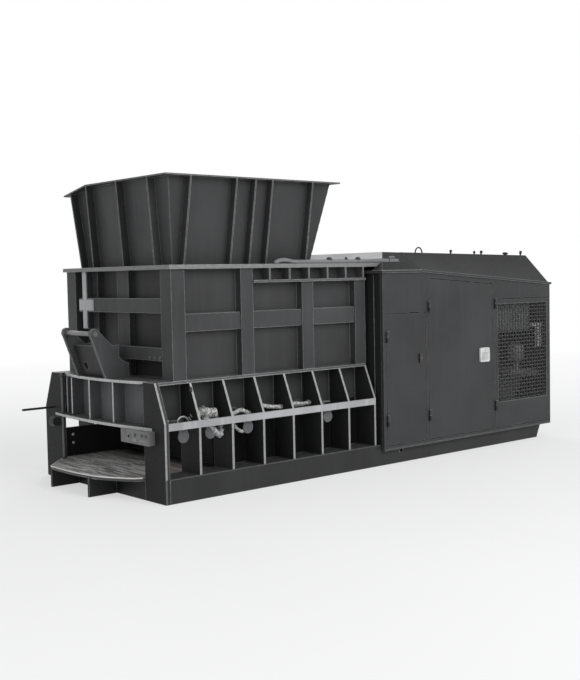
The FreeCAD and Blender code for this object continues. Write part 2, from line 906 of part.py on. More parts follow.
# Doors


def hinge_x(name):
    return door_outline(name, door_gap / 2)[0][0]


def hinge_levels(name):
    return [hinge_low, hinge_small_high if name == "small" else hinge_high]


def door_with_hinges(name):
    """Door slab in its doorway, with the upper halves of its two hinges."""
    slab = profile_y(door_outline(name, 0), pack_face, door_plate)
    x = hinge_x(name)
    half = hinge_height / 2
    pieces = []
    for z in hinge_levels(name):
        pieces.append(round_bar(hinge_radius, half, (x, hinge_y, z), (0, 0, 1)))
        pieces.append(box(x, x + hinge_leaf, hinge_y, pack_face, z, z + half))
        pieces.append(box(x, x + hinge_leaf_width, pack_face - hinge_leaf, pack_face, z, z + half))
    door = slab.fuse(pieces)
    bore_radius = hinge_pin_radius + hinge_pin_clearance
    bores = [round_bar(bore_radius, hinge_pin_length + hinge_split, (x, hinge_y, z), (0, 0, 1))
             for z in hinge_levels(name)]
    return door.cut(bores).removeSplitter()


def fixed_hinges():
    """Lower halves of all the hinges, with their pins, on the near wall."""
    parts = []
    half = hinge_height / 2
    for name in door_names:
        x = hinge_x(name)
        for z in hinge_levels(name):
            low = z - half - hinge_split
            knuckle = round_bar(hinge_radius, half, (x, hinge_y, low), (0, 0, 1))
            neck = box(x - hinge_leaf, x, hinge_y, pack_face, low, low + half)
            leaf = box(x - hinge_fixed_leaf_width, x, pack_face - hinge_leaf, pack_face, low, low + half)
            pin = round_bar(hinge_pin_radius, half + hinge_split + hinge_pin_length,
                            (x, hinge_y, low), (0, 0, 1))
            parts.append(knuckle.fuse([neck, leaf, pin]).removeSplitter())
    return group(parts)


def small_latch():
    """Turn latch at the free edge of the small door."""
    x1 = door_outline("small", 0)[1][0] - latch_edge_distance
    return box(x1 - latch_width, x1, pack_face - latch_depth, pack_face,
               latch_middle - latch_height / 2, latch_middle + latch_height / 2)


def paddle_latch():
    """Paddle latch plate of the main door."""
    x1 = door_outline("main", 0)[1][0] - latch_edge_distance
    plate = box(x1 - paddle_width, x1, pack_face - latch_depth, pack_face,
                paddle_middle - paddle_height / 2, paddle_middle + paddle_height / 2)
    corners = [e for e in plate.Edges if abs(e.Vertexes[0].Y - e.Vertexes[-1].Y) > latch_depth / 2]
    return plate.makeFillet(latch_depth, corners)


def mesh_window():
    """Opening that the mesh fills: x0, x1, z0, z1."""
    outline = door_outline("mesh", 0)
    x0 = outline[0][0] + mesh_border
    x1 = outline[1][0] - mesh_border
    return x0, x1, door_bottom + mesh_bottom_border, mesh_door_top - mesh_border


def mesh_door():
    """Frame of the mesh door, with the upper halves of its hinges."""
    x0, x1, z0, z1 = mesh_window()
    return door_with_hinges("mesh").cut(box(x0, x1, pack_face, pack_face + door_plate, z0, z1))


def mesh_guard():
    """Guard mesh of the door as one flat lattice of square wires."""
    x0, x1, z0, z1 = mesh_window()
    y = pack_face + door_plate / 2
    pitch_x = (x1 - x0 - mesh_wire) / (mesh_columns - 1)
    pitch_z = (z1 - z0 - mesh_wire) / (mesh_rows - 1)
    sheet = box(x0, x1, y, y + mesh_thickness, z0, z1)
    wires = []
    for i in range(mesh_columns):
        a = x0 + i * pitch_x
        wires.append((a, a + mesh_wire))
    rungs = []
    for k in range(mesh_rows):
        c = z0 + k * pitch_z
        rungs.append((c, c + mesh_wire))
    holes = []
    for (_, a), (b, _) in zip(wires[:-1], wires[1:]):
        for (_, c), (d, _) in zip(rungs[:-1], rungs[1:]):
            holes.append(box(a, b, y, y + mesh_thickness, c, d))
    return sheet.cut(holes)


# Machinery behind the mesh door


def oil_tank():
    x0 = machinery_front
    return box(x0, x0 + tank_share * machinery_length, tank_depth, tank_depth + tank_width, skid_height, tank_top)


def level_gauge():
    """Sight gauge on the near face of the tank."""
    x1 = machinery_front + tank_share * machinery_length - gauge_edge_distance
    return box(x1 - gauge_width, x1, tank_depth - gauge_depth, tank_depth,
               tank_top - gauge_edge_distance - gauge_height, tank_top - gauge_edge_distance)


def motor():
    """Electric motor lying along the machine on a foot."""
    motor_length = (1 - tank_share) * machinery_length - motor_gap - motor_end_gap
    x0 = pack_end - pack_sheet - motor_end_gap - motor_length
    barrel = round_bar(motor_radius, motor_length, (x0, motor_depth, motor_axis_height), (1, 0, 0))
    foot = box(x0 + motor_foot_inset, x0 + motor_length - motor_foot_inset,
               motor_depth - motor_foot_width / 2, motor_depth + motor_foot_width / 2,
               skid_height, motor_axis_height)
    return barrel.fuse(foot).removeSplitter()


def build():
    """All pieces by name, in the working frame."""
    ribs = side_ribs()
    return {
        "skid_rails": pair(skid_rail()),
        "skid_floor_plate": skid_floor(),
        "skid_cross_beams": skid_beams(),
        "side_ribs_near": group(ribs),
        "side_ribs_far": group([mirrored(rib) for rib in ribs]),
        "side_bands": pair(side_band()),
        "bay_top_strips": pair(bay_top()),
        "shear_wall_near": shear_wall(),
        "shear_wall_far": mirrored(shear_wall()),
        "press_bed": press_bed(),
        "head_cheeks": pair(cheek()),
        "head_sill": sill(),
        "head_ring_low": ring_low(),
        "head_deck": head_deck(),
        "head_ring_wall": ring_wall(),
        "head_ring_ribs": ring_ribs(),
        "discharge_apron": apron(),
        "apron_feet": apron_feet(),
        "knife_block": knife_block(),
        "pivot_block": pivot_block(),
        "gauge_rod": gauge_rod(),
        "bracket_cheeks": group([bracket_cheek(bracket_near_y), bracket_cheek(bracket_far_y)]),
        "bracket_web": bracket_web(),
        "bracket_pin": bracket_pin(),
        "box_posts": box_posts(),
        "box_bands": box_bands(),
        "box_side_walls": pair(box_side_wall()),
        "box_end_wall": box_end_wall(),
        "box_rear_wall": box_rear_wall(),
        "deck_flange": deck_flange(),
        "deck_ledges": pair(deck_ledge()),
        "deck_cover": deck_cover(),
        "hopper_side_walls": group([hopper_side(0, 1), hopper_side(1, low_level())]),
        "hopper_end_walls": group([hopper_end(0), hopper_end(1)]),
        "hopper_lip": hopper_lip_frame(),
        "hopper_ribs": hopper_ribs(),
        "pack_near_wall": near_wall(),
        "pack_far_wall": far_wall(),
        "pack_end_walls": end_walls(),
        "pack_eave_sheet": eave_sheet(),
        "pack_hood": hood(),
        "roof_fittings": roof_fittings(),
        "small_door": door_with_hinges("small"),
        "small_door_latch": small_latch(),
        "main_door": door_with_hinges("main"),
        "paddle_latch": paddle_latch(),
        "mesh_door": mesh_door(),
        "mesh_guard": mesh_guard(),
        "fixed_hinges": fixed_hinges(),
        "oil_tank": oil_tank(),
        "level_gauge": level_gauge(),
        "pump_motor": motor(),
    }


def export(pieces):
    """Move every piece so that the origin is the footprint's middle, and write it."""
    bounds = group(list(pieces.values())).BoundBox
    shift = vector(-(bounds.XMin + bounds.XMax) / 2, -(bounds.YMin + bounds.YMax) / 2, -bounds.ZMin)
    os.makedirs("parts", exist_ok=True)
    for name, shape in pieces.items():
        placed = shape.copy()
        placed.translate(shift)
        placed.exportStep("parts/" + name + ".step")
    print("origin shift", shift, "size", bounds.XLength, bounds.YLength, bounds.ZLength)
    for name in door_names:
        print(name, "door hinge axis", hinge_x(name) + shift.x, hinge_y + shift.y)


export(build())
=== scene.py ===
"""Looks of the scrap shear: finishes, mesh, welds, bolts, hoses, enclosure, head, apron and studio."""

import math

import bmesh
import bpy
import numpy as np
from mathutils import Matrix, Vector


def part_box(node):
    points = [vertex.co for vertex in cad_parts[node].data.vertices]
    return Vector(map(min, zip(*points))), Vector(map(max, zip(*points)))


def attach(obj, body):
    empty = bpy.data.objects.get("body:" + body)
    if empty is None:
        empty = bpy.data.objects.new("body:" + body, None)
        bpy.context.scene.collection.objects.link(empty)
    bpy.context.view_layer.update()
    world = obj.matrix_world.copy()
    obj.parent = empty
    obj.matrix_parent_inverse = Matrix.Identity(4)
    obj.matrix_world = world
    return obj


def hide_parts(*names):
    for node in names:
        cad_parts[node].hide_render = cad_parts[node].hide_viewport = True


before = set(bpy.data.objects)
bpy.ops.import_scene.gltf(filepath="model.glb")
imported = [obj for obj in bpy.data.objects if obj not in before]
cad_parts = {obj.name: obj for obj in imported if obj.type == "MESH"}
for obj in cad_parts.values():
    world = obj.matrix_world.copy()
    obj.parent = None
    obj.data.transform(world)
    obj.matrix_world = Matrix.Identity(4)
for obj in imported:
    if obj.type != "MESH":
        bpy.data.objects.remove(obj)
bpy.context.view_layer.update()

bl_info = {
    "name": "Scrap Shear Looks",
    "version": (1, 0, 0),
    "blender": (4, 5, 0),
    "location": "3D View > Sidebar > Scrap Shear",
    "description": "Dresses the scrap shear with finishes, welds, fittings and a studio",
    "category": "Object",
}

# Lowest corner of the head cheeks, from which all places below are given in millimetres.
CORNER = np.array(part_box("head_cheeks")[0])
BODY = "machine"

# The camera's place in metres, its compass angle, tilt and roll in degrees, and its reach in pixels.
CAMERA_PLACE = (-6.665, -7.5305, 1.700)
CAMERA_TURN = (40.70, -3.40, -1.14)
FOCAL_PIXELS, PICTURE_PIXELS = 1061.9, 580.0
SENSOR_MM = 36.0


def at(x, y, z):
    """A place in metres, from millimetres off the cheeks' lowest corner."""
    return CORNER + np.array([x, y, z]) / 1000.0


def places(rows):
    """Places as an array of points, from rows of millimetres."""
    return CORNER + np.array(rows, float) / 1000.0


# Places where a finish changes along X or up Z, in metres of the frame.
CHEEK_EDGE_X = float(at(15, 0, 0)[0])
CHAMBER_X = float(at(300, 0, 0)[0])
END_WALL_X = float(at(2500, 0, 0)[0])
BAY_SHADE_Z = float(at(0, 0, 600)[2])
HIP_Z = tuple(float(at(0, 0, z)[2]) for z in (1846, 1852))
EDGE_FOOT_Z = (0.184, 0.196)
RIM_Z = (0.180, 0.188)


# Sizes and colours.


def colour_property(name, description, default):
    """A colour that a user may change."""
    return bpy.props.FloatVectorProperty(
        name=name, description=description, default=default, size=3, min=0.0, max=1.0, subtype="COLOR")


def length_property(name, description, default):
    """A length that a user may change."""
    return bpy.props.FloatProperty(
        name=name, description=description, default=default, min=0.0, unit="LENGTH", subtype="DISTANCE")


class ShearPaints(bpy.types.PropertyGroup):
    """Colours of the paints and metals."""
    frame_paint: colour_property("Frame paint", "Charcoal paint of the welded frame", (0.055, 0.0555, 0.057))
    # Painted shade: the inner paint is the frame paint darkened for walls and parts that lie in shade.
    inner_paint: colour_property("Inner paint", "Darker paint of walls in shade", (0.028, 0.0285, 0.030))
    door_paint: colour_property("Door paint", "Paint of the enclosure and doors", (0.043, 0.0435, 0.045))
    cover_paint: colour_property("Cover paint", "Paint of the hood and covers", (0.027, 0.0274, 0.0285))
    worn_edge: colour_property("Worn edge", "Bare metal at rubbed plate edges", (0.46, 0.46, 0.46))
    scraped: colour_property("Scraped steel", "Steel of the discharge apron", (0.36, 0.35, 0.34))
    dust: colour_property("Dust", "Pale dust that lies on upward faces", (0.115, 0.114, 0.110))
    tank: colour_property("Tank paint", "Light paint of tank and motor", (0.30, 0.305, 0.31))
    hose: colour_property("Wrapped hose", "Pale film round the new hoses", (0.72, 0.72, 0.71))


class ShearSizes(bpy.types.PropertyGroup):
    """Sizes of the pieces that are added to the frame."""
    mesh_pitch: length_property("Mesh pitch", "Distance between the upright guard wires", 0.045)
    mesh_wire: length_property("Mesh wire", "Radius of a guard wire", 0.0070)
    weld_leg: length_property("Weld leg", "Radius of a weld bead", 0.0055)
    bolt_width: length_property("Bolt width", "Half width over a bolt head's corners", 0.017)
    hose_radius: length_property("Hose radius", "Radius of a hydraulic hose", 0.016)


def paints():
    return bpy.context.scene.shear_paints


def sizes():
    return bpy.context.scene.shear_sizes


# Surfaces.


def grid_quads(rows, columns, closed):
    """Quads between neighbouring rows and columns, wrapped round the columns when closed."""
    i, j = np.meshgrid(np.arange(rows - 1), np.arange(columns if closed else columns - 1), indexing="ij")
    k = (j + 1) % columns
    return np.stack([i * columns + j, i * columns + k, (i + 1) * columns + k, (i + 1) * columns + j],
                    -1).reshape(-1, 4)


def across(directions):
    """Two unit vectors square to each direction, taken from the world axis least along it."""
    d = directions / np.linalg.norm(directions, axis=1, keepdims=True)
    helper = np.zeros_like(d)
    helper[np.arange(len(d)), np.argmin(np.abs(d.mean(0))) * np.ones(len(d), int)] = 1.0
    u = np.cross(d, helper)
    u /= np.linalg.norm(u, axis=1, keepdims=True)
    return u, np.cross(d, u)


def swept(path, radii, sides=12, squash=1.0):
    """Round skin along a path: point(i, a) = path(i) + radius(i) (cos a u(i) + squash sin a v(i)).

    u and v are square to the path. A radius of nought at both ends closes the skin at a pole."""
    path = np.asarray(path, float)
    radii = np.broadcast_to(np.asarray(radii, float), (len(path),))
    steps = np.diff(path, axis=0)
    keep = np.linalg.norm(steps, axis=1) > 1e-9
    index = np.clip(np.arange(len(path)), 0, len(steps) - 1)
    good = np.where(keep, np.arange(len(steps)), 0)
    good = np.maximum.accumulate(good)
    if not keep[0]:
        good[: int(np.argmax(keep))] = int(np.argmax(keep))
    tangent = steps[good[index]]
    u, v = across(tangent)
    a = np.linspace(0, 2 * math.pi, sides, endpoint=False)
    ring = np.cos(a)[None, :, None] * u[:, None] + squash * np.sin(a)[None, :, None] * v[:, None]
    points = path[:, None] + radii[:, None, None] * ring
    return points.reshape(-1, 3), grid_quads(len(path), sides, True)


def capped(path, radius, sides):
    """Round bar of one radius along a path: the swept skin with its end rings drawn in to poles."""
    radii = np.concatenate([[0], np.full(len(path), radius), [0]])
    return swept(np.concatenate([path[:1], path, path[-1:]]), radii, sides)


def rod(start, end, radius, sides=12):
    """Straight closed bar: the swept skin with its end rings drawn in to poles."""
    start, end = np.array(start, float), np.array(end, float)
    share = np.array([0, 0, 1, 1])[:, None]
    return swept(start + share * (end - start), [0, radius, radius, 0], sides)


def turned(base, axis, profile, sides=24):
    """Turned skin: point(i, a) = base + height(i) axis + radius(i) (cos a u + sin a v)."""
    base, axis = np.array(base, float), np.array(axis, float)
    axis = axis / np.linalg.norm(axis)
    profile = np.array(profile, float)
    u, v = across(axis[None])
    a = np.linspace(0, 2 * math.pi, sides, endpoint=False)
    ring = np.cos(a)[:, None] * u + np.sin(a)[:, None] * v
    points = base + profile[:, 1][:, None, None] * axis + profile[:, 0][:, None, None] * ring[None]
    return points.reshape(-1, 3), grid_quads(len(profile), sides, True)


def hex_bolt(base, axis, width, height):
    """Washer and chamfered six-sided head, both turned about the same axis."""
    washer = turned(base, axis, [(0, -0.001), (1.25 * width, -0.001), (1.25 * width, 0.003), (0, 0.003)], 20)
    head = turned(base, axis, [(0, 0.0), (width, 0.0), (width, 0.8 * height), (0.86 * width, height),
                               (0, height)], 6)
    return [washer, head]


def plate(low, high, softness=0.0015):
    """Rectangular plate with bevelled rims: six rings of four corners stacked through its thickness.

    corner(i, k) = middle + inset(i) (half size - softness(i)) (s(k), t(k)) + depth(i) half thickness."""
    low, high = np.array(low, float), np.array(high, float)
    thin = int(np.argmin(high - low))
    others = [k for k in range(3) if k != thin]
    if (others[1] - others[0]) % 3 == 2:
        others = others[::-1]
    half = (high - low) / 2
    middle = (high + low) / 2
    s = np.array([-1.0, 1.0, 1.0, -1.0])
    t = np.array([-1.0, -1.0, 1.0, 1.0])
    depth = np.array([-1, -1, -1, 1, 1, 1])
    inset = np.array([0, 1, 1, 1, 1, 0])
    soft = np.array([0, softness, 0, 0, softness, 0])
    lift = np.array([0, 0, softness, -softness, 0, 0])
    points = np.zeros((6, 4, 3))
    points[:, :, others[0]] = inset[:, None] * s * (half[others[0]] - soft[:, None])
    points[:, :, others[1]] = inset[:, None] * t * (half[others[1]] - soft[:, None])
    points[:, :, thin] = (depth * half[thin] + lift)[:, None]
    return (middle + points).reshape(-1, 3), grid_quads(6, 4, True)


def sheet(outline, low, high, softness):
    """Flat plate of any bulging outline: point(i, k) = middle + share(i) (outline(k) - middle), at height(i).

    The shares run 0, almost 1, 1, 1, almost 1, 0, so that the rims are soft and both faces close at poles."""
    outline = np.asarray(outline, float)
    middle = outline.mean(0)
    reach = np.linalg.norm(outline - middle, axis=1)
    share = np.ones((6, len(outline)))
    share[[0, 5]] = 0.0
    share[[1, 4]] = 1 - softness / reach
    height = np.array([low, low, low + softness, high - softness, high, high])
    flat = middle + share[:, :, None] * (outline - middle)
    points = np.concatenate([flat, np.broadcast_to(height[:, None, None], (6, len(outline), 1))], 2)
    return points.reshape(-1, 3), grid_quads(6, len(outline), True)


def saddle(corners, thickness, rows=25, columns=9):
    """Smooth twisted sheet between four corners, closed into a thin shell.

    outer(u, v) = (1-u)(1-v) A + u(1-v) B + u v C + (1-u) v D, and inner lies a thickness under it."""
    a, b, c, d = (np.array(p, float) for p in corners)
    u = np.linspace(0, 1, rows)[:, None, None]
    v = np.linspace(0, 1, columns)[None, :, None]
    outer = (1 - u) * (1 - v) * a + u * (1 - v) * b + u * v * c + (1 - u) * v * d
    normal = np.cross((1 - v) * (b - a) + v * (c - d), (1 - u) * (d - a) + u * (c - b))
    normal /= np.linalg.norm(normal, axis=2, keepdims=True)
    normal *= np.where(normal[..., 2:] < 0, -1.0, 1.0)
    loop = np.concatenate([outer + 0.5 * thickness * normal, (outer - 0.5 * thickness * normal)[:, ::-1]], 1)
    ends = loop.mean(1, keepdims=True) * np.ones_like(loop)
    loop = np.concatenate([ends[:1], loop, ends[-1:]])
    return loop.reshape(-1, 3), grid_quads(rows + 2, 2 * columns, True)


def bead(start, end, radius, seed=0):
    """Weld bead: a closed bar whose radius wanders along its length by smooth noise."""
    start, end = np.array(start, float), np.array(end, float)
    length = np.linalg.norm(end - start)
    count = max(4, int(length / 0.022))
    share = np.concatenate([[0.0], np.linspace(0, 1, count), [1.0]])
    wander = 1 + 0.16 * np.sin(share * count * 1.7 + seed) + 0.09 * np.sin(share * count * 3.9 + 2 * seed)
    radii = radius * wander * np.concatenate([[0.0], np.ones(count), [0.0]])
    return swept(start + share[:, None] * (end - start), radii, 6)


def bent(points, count=28):
    """Smooth path through given points: Catmull-Rom curve, worked out for all steps at once."""
    p = np.asarray(points, float)
    p = np.concatenate([[2 * p[0] - p[1]], p, [2 * p[-1] - p[-2]]])
    t = np.linspace(0, len(p) - 3 - 1e-6, count)
    i = t.astype(int)
    f = (t - i)[:, None]
    a, b, c, d = p[i], p[i + 1], p[i + 2], p[i + 3]
    return 0.5 * (2 * b + (c - a) * f + (2 * a - 5 * b + 4 * c - d) * f ** 2
                  + (3 * b - a - 3 * c + d) * f ** 3)


def hose(points, radius, sides=12, rings=0.0):
    """Closed hose along a smooth path, with crumpled rings when rings is above nought."""
    path = bent(points)
    t = np.linspace(0, 1, len(path))
    radii = radius * (1 + rings * np.sin(t * 71) + rings * 0.6 * np.sin(t * 173 + 1))
    radii[0] = radii[-1] = 0
    path[0], path[-1] = path[1], path[-2]
    return swept(path, radii, sides)


def piece(name, parts, material, body=BODY):
    """One mesh object of closed skins, with its poles merged and its faces outward."""
    start = np.cumsum([0] + [len(p) for p, _ in parts[:-1]])
    points = np.concatenate([p for p, _ in parts])
    quads = np.concatenate([q + s for (_, q), s in zip(parts, start)])
    data = bpy.data.meshes.new(name)
    data.from_pydata(points.tolist(), [], quads.tolist())
    work = bmesh.new()
    work.from_mesh(data)
    bmesh.ops.remove_doubles(work, verts=work.verts, dist=2e-6)
    bmesh.ops.dissolve_degenerate(work, edges=work.edges, dist=1e-7)
    bmesh.ops.recalc_face_normals(work, faces=work.faces)
    work.to_mesh(data)
    work.free()
    data.materials.append(material)
    item = bpy.data.objects.new(name, data)
    bpy.context.scene.collection.objects.link(item)
    data.shade_smooth()
    data.set_sharp_from_angle(angle=math.radians(38))
    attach(item, body)
    return item


# Finishes.


class Finish:
    """Small helper that adds nodes to one material and wires them."""

    def __init__(self, name):
        self.material = bpy.data.materials.get(name) or bpy.data.materials.new(name)
        self.material.use_nodes = True
        self.tree = self.material.node_tree
        self.tree.nodes.clear()
        self.shader = self.tree.nodes.new("ShaderNodeBsdfPrincipled")
        output = self.tree.nodes.new("ShaderNodeOutputMaterial")
        self.join(self.shader.outputs["BSDF"], output.inputs["Surface"])
        self.place = self.tree.nodes.new("ShaderNodeTexCoord").outputs["Object"]

    def join(self, source, target):
        self.tree.links.new(source, target)

    def put(self, value, socket):
        if isinstance(value, bpy.types.NodeSocket):
            self.join(value, socket)
        elif hasattr(value, "__len__"):
            socket.default_value = tuple(value) + (1.0,) * (len(socket.default_value) - len(value))
        else:
            socket.default_value = value

    def noise(self, scale, stretch=(1, 1, 1), detail=4.0, rough=0.55, shift=(0, 0, 0)):
        mapping = self.tree.nodes.new("ShaderNodeMapping")
        self.join(self.place, mapping.inputs["Vector"])
        mapping.inputs["Scale"].default_value = stretch
        mapping.inputs["Location"].default_value = shift
        node = self.tree.nodes.new("ShaderNodeTexNoise")
        self.join(mapping.outputs["Vector"], node.inputs["Vector"])
        node.inputs["Scale"].default_value = scale
        node.inputs["Detail"].default_value = detail
        node.inputs["Roughness"].default_value = rough
        return node.outputs["Fac"]

    def span(self, value, low, high, to_low=0.0, to_high=1.0):
        node = self.tree.nodes.new("ShaderNodeMapRange")
        self.put(value, node.inputs["Value"])
        for key, number in (("From Min", low), ("From Max", high), ("To Min", to_low), ("To Max", to_high)):
            node.inputs[key].default_value = number
        return node.outputs["Result"]

    def math(self, kind, first, second=0.0, clamp=True):
        node = self.tree.nodes.new("ShaderNodeMath")
        node.operation = kind
        node.use_clamp = clamp
        self.put(first, node.inputs[0])
        self.put(second, node.inputs[1])
        return node.outputs[0]

    def mix(self, share, first, second):
        node = self.tree.nodes.new("ShaderNodeMix")
        node.data_type = "RGBA"
        self.put(share, node.inputs["Factor"])
        self.put(first, node.inputs["A"])
        self.put(second, node.inputs["B"])
        return node.outputs["Result"]

    def part_of_normal(self, axis):
        """Size of one part of the face's own direction, and the part with its sign."""
        geometry = self.tree.nodes.new("ShaderNodeNewGeometry")
        split = self.tree.nodes.new("ShaderNodeSeparateXYZ")
        self.join(geometry.outputs["True Normal"], split.inputs[0])
        return self.math("ABSOLUTE", split.outputs[axis]), split.outputs[axis]

    def rubbed(self, radius):
        """Share of wear near edges: how far the rounded direction leaves the face's own."""
        geometry = self.tree.nodes.new("ShaderNodeNewGeometry")
        rounded = self.tree.nodes.new("ShaderNodeBevel")
        rounded.samples = 4
        rounded.inputs["Radius"].default_value = radius
        dot = self.tree.nodes.new("ShaderNodeVectorMath")
        dot.operation = "DOT_PRODUCT"
        self.join(geometry.outputs["True Normal"], dot.inputs[0])
        self.join(rounded.outputs["Normal"], dot.inputs[1])
        return self.span(dot.outputs["Value"], 0.995, 0.86)

    def height(self, axis):
        split = self.tree.nodes.new("ShaderNodeSeparateXYZ")
        self.join(self.place, split.inputs[0])
        return split.outputs[axis]

    def bump(self, value, strength, distance):
        node = self.tree.nodes.new("ShaderNodeBump")
        node.inputs["Strength"].default_value = strength
        node.inputs["Distance"].default_value = distance
        self.join(value, node.inputs["Height"])
        self.join(node.outputs["Normal"], self.shader.inputs["Normal"])


def lighter(colour, share):
    """A colour times a share, with no part above one."""
    return tuple(min(1.0, c * share) for c in colour)


def painted(name, colour, wear, dust, edge_faces=None, edge_share=1.0, roughness=0.46, rub=0.006,
            shade_below=None, streaks=0.22, pale_hip=None, edge_until=None, gloss=0.22,
            darker_until=None):
    """Charcoal paint: cloudy tone, runs, dust on upward faces, rubbed edges and bare thin faces, and where
    asked painted shade low down or short of a place along X.
    """
    f = Finish(name)
    broad = f.noise(1.3, detail=3.0)
    fine = f.noise(38.0, detail=5.0, rough=0.62)
    runs = f.noise(5.0, (3.2, 3.2, 0.22), 4.0, shift=(3.1, 0.7, 0))
    tone = f.mix(f.span(broad, 0.32, 0.68), lighter(colour, 0.80), lighter(colour, 1.22))
    tone = f.mix(f.math("MULTIPLY", f.span(runs, 0.50, 0.78), streaks), tone, lighter(colour, 1.75))
    tone = f.mix(f.math("MULTIPLY", f.span(fine, 0.62, 0.82), 0.35), tone, lighter(colour, 2.1))
    if shade_below is not None:
        level = f.height("Z")
        tone = f.mix(f.span(level, shade_below, shade_below + 0.02), lighter(colour, 0.10), tone)
    # Painted shade: short of this place along X the paint darkens to 0.4 of its colour, for the end wall that
    # faces away from the lights.
    if darker_until is not None:
        far = f.span(f.height("X"), darker_until, darker_until + 0.01)
        tone = f.mix(far, lighter(colour, 0.40), tone)
    if pale_hip:
        _, toward = f.part_of_normal("X")
        hip = f.math("MULTIPLY", f.span(toward, -0.25, -0.40),
                     f.span(f.height("Z"), *HIP_Z))
        tone = f.mix(hip, tone, pale_hip)
    _, up = f.part_of_normal("Z")
    settled = f.math("MULTIPLY", f.span(up, 0.55, 0.98), f.span(broad, 0.30, 0.75, 0.12, 0.60))
    tone = f.mix(settled, tone, dust)
    edge = f.math("MULTIPLY", f.rubbed(rub), f.span(fine, 0.30, 0.62, 0.35, 1.0))
    if edge_faces:
        size, _ = f.part_of_normal(edge_faces)
        bare = f.span(size, 0.55, 0.45)
        bare = f.math("MULTIPLY", bare, f.span(fine, 0.25, 0.75, 0.62 * edge_share, edge_share))
        if edge_until:
            bare = f.math("MULTIPLY", bare, f.span(f.height("X"), edge_until, edge_until + 0.003, 1.0, 0.12))
            bare = f.math("MULTIPLY", bare, f.span(f.height("Z"), *EDGE_FOOT_Z, 0.25, 1.0))
        edge = f.math("MAXIMUM", edge, bare)
    tone = f.mix(edge, tone, wear)
    f.put(tone, f.shader.inputs["Base Color"])
    sheen = f.span(f.math("ADD", fine, f.math("MULTIPLY", edge, -0.35)), 0.0, 1.0,
                   roughness - 0.10, roughness + 0.16)
    if shade_below is not None:
        sheen = f.math("MAXIMUM", sheen, f.span(f.height("Z"), shade_below, shade_below + 0.02, 1.0, 0.0))
    f.put(sheen, f.shader.inputs["Roughness"])
    f.put(f.math("MULTIPLY", edge, 0.35), f.shader.inputs["Metallic"])
    f.shader.inputs["Specular IOR Level"].default_value = gloss
    f.bump(f.noise(150.0, detail=3.0), 0.12, 0.0006)
    return f.material


def coated(name, colour, *faces, worn=None, **more):
    """Paint with the wear and dust colours of the whole shear."""
    p = paints()
    return painted(name, colour, worn or tuple(p.worn_edge), tuple(p.dust), *faces, **more)


def scraped_steel(name, colour, painted_shade_from=None, beside=None):
    """Scraped floor steel: curved crescent streaks, a near-white painted highlight round one spot and brown
    film at the near side.

    Given a place along X, the steel fades from there into painted shade inside the chamber, and the bays beside
    it stay painted."""
    f = Finish(name)
    turn = f.tree.nodes.new("ShaderNodeMapping")
    turn.inputs["Rotation"].default_value = (0.0, 0.0, math.radians(24))
    turn.inputs["Scale"].default_value = (8.0, 0.9, 1.0)
    f.join(f.place, turn.inputs["Vector"])
    streak = f.tree.nodes.new("ShaderNodeTexNoise")
    f.join(turn.outputs["Vector"], streak.inputs["Vector"])
    for key, number in (("Scale", 4.2), ("Detail", 6.0), ("Roughness", 0.62), ("Distortion", 0.9)):
        streak.inputs[key].default_value = number
    scratch = streak.outputs["Fac"]
    cloudy = f.noise(3.2, detail=5.0)
    # Painted highlight: in a ragged patch round one spot the scratches turn near-white, standing in for light
    # on the steel.
    highlight_distance = f.tree.nodes.new("ShaderNodeVectorMath")
    highlight_distance.operation = "DISTANCE"
    f.join(f.place, highlight_distance.inputs[0])
    highlight_distance.inputs[1].default_value = tuple(at(130, 760, 190))
    ragged = f.math("ADD", highlight_distance.outputs["Value"], f.span(cloudy, 0.0, 1.0, -0.2, 0.2), False)
    painted_highlight = f.span(ragged, 0.70, 0.16)
    tone = f.mix(f.span(scratch, 0.36, 0.64), lighter(colour, 0.30), lighter(colour, 1.7))
    tone = f.mix(f.math("MULTIPLY", f.span(scratch, 0.44, 0.60), painted_highlight), tone, (1.0, 1.0, 1.0))
    near = f.span(f.height("Y"), float(at(0, 620, 0)[1]), float(at(0, 360, 0)[1]))
    brown = f.math("MULTIPLY", f.span(cloudy, 0.42, 0.62), near)
    tone = f.mix(f.math("MULTIPLY", brown, 0.7), tone, (colour[0] * 0.80, colour[1] * 0.56, colour[2] * 0.46))
    flat, _ = f.part_of_normal("Z")
    tone = f.mix(f.span(flat, 0.45, 0.60), lighter(colour, 0.20), tone)
    rim = f.math("MULTIPLY", f.rubbed(0.010), f.span(f.height("Z"), *RIM_Z))
    tone = f.mix(rim, tone, lighter(colour, 2.4))
    if painted_shade_from is not None:
        # Painted shade: past this place along X the floor fades to near black inside the chamber.
        inward = f.math("ADD", f.height("X"), f.span(cloudy, 0.0, 1.0, -0.10, 0.10), False)
        tone = f.mix(f.span(inward, painted_shade_from, painted_shade_from + 0.30), tone, (0.010, 0.010, 0.010))
        side = f.math("MAXIMUM", f.span(f.height("Y"), float(at(0, 252, 0)[1]), float(at(0, 246, 0)[1])),
                      f.span(f.height("Y"), float(at(0, 1598, 0)[1]), float(at(0, 1604, 0)[1])))
        tone = f.mix(side, tone, f.mix(f.span(cloudy, 0.3, 0.7), lighter(beside, 0.9), lighter(beside, 1.4)))
    f.put(tone, f.shader.inputs["Base Color"])
    f.put(f.span(scratch, 0.2, 0.8, 0.60, 0.34), f.shader.inputs["Roughness"])
    f.shader.inputs["Metallic"].default_value = 0.2
    f.bump(scratch, 0.25, 0.0015)
    return f.material


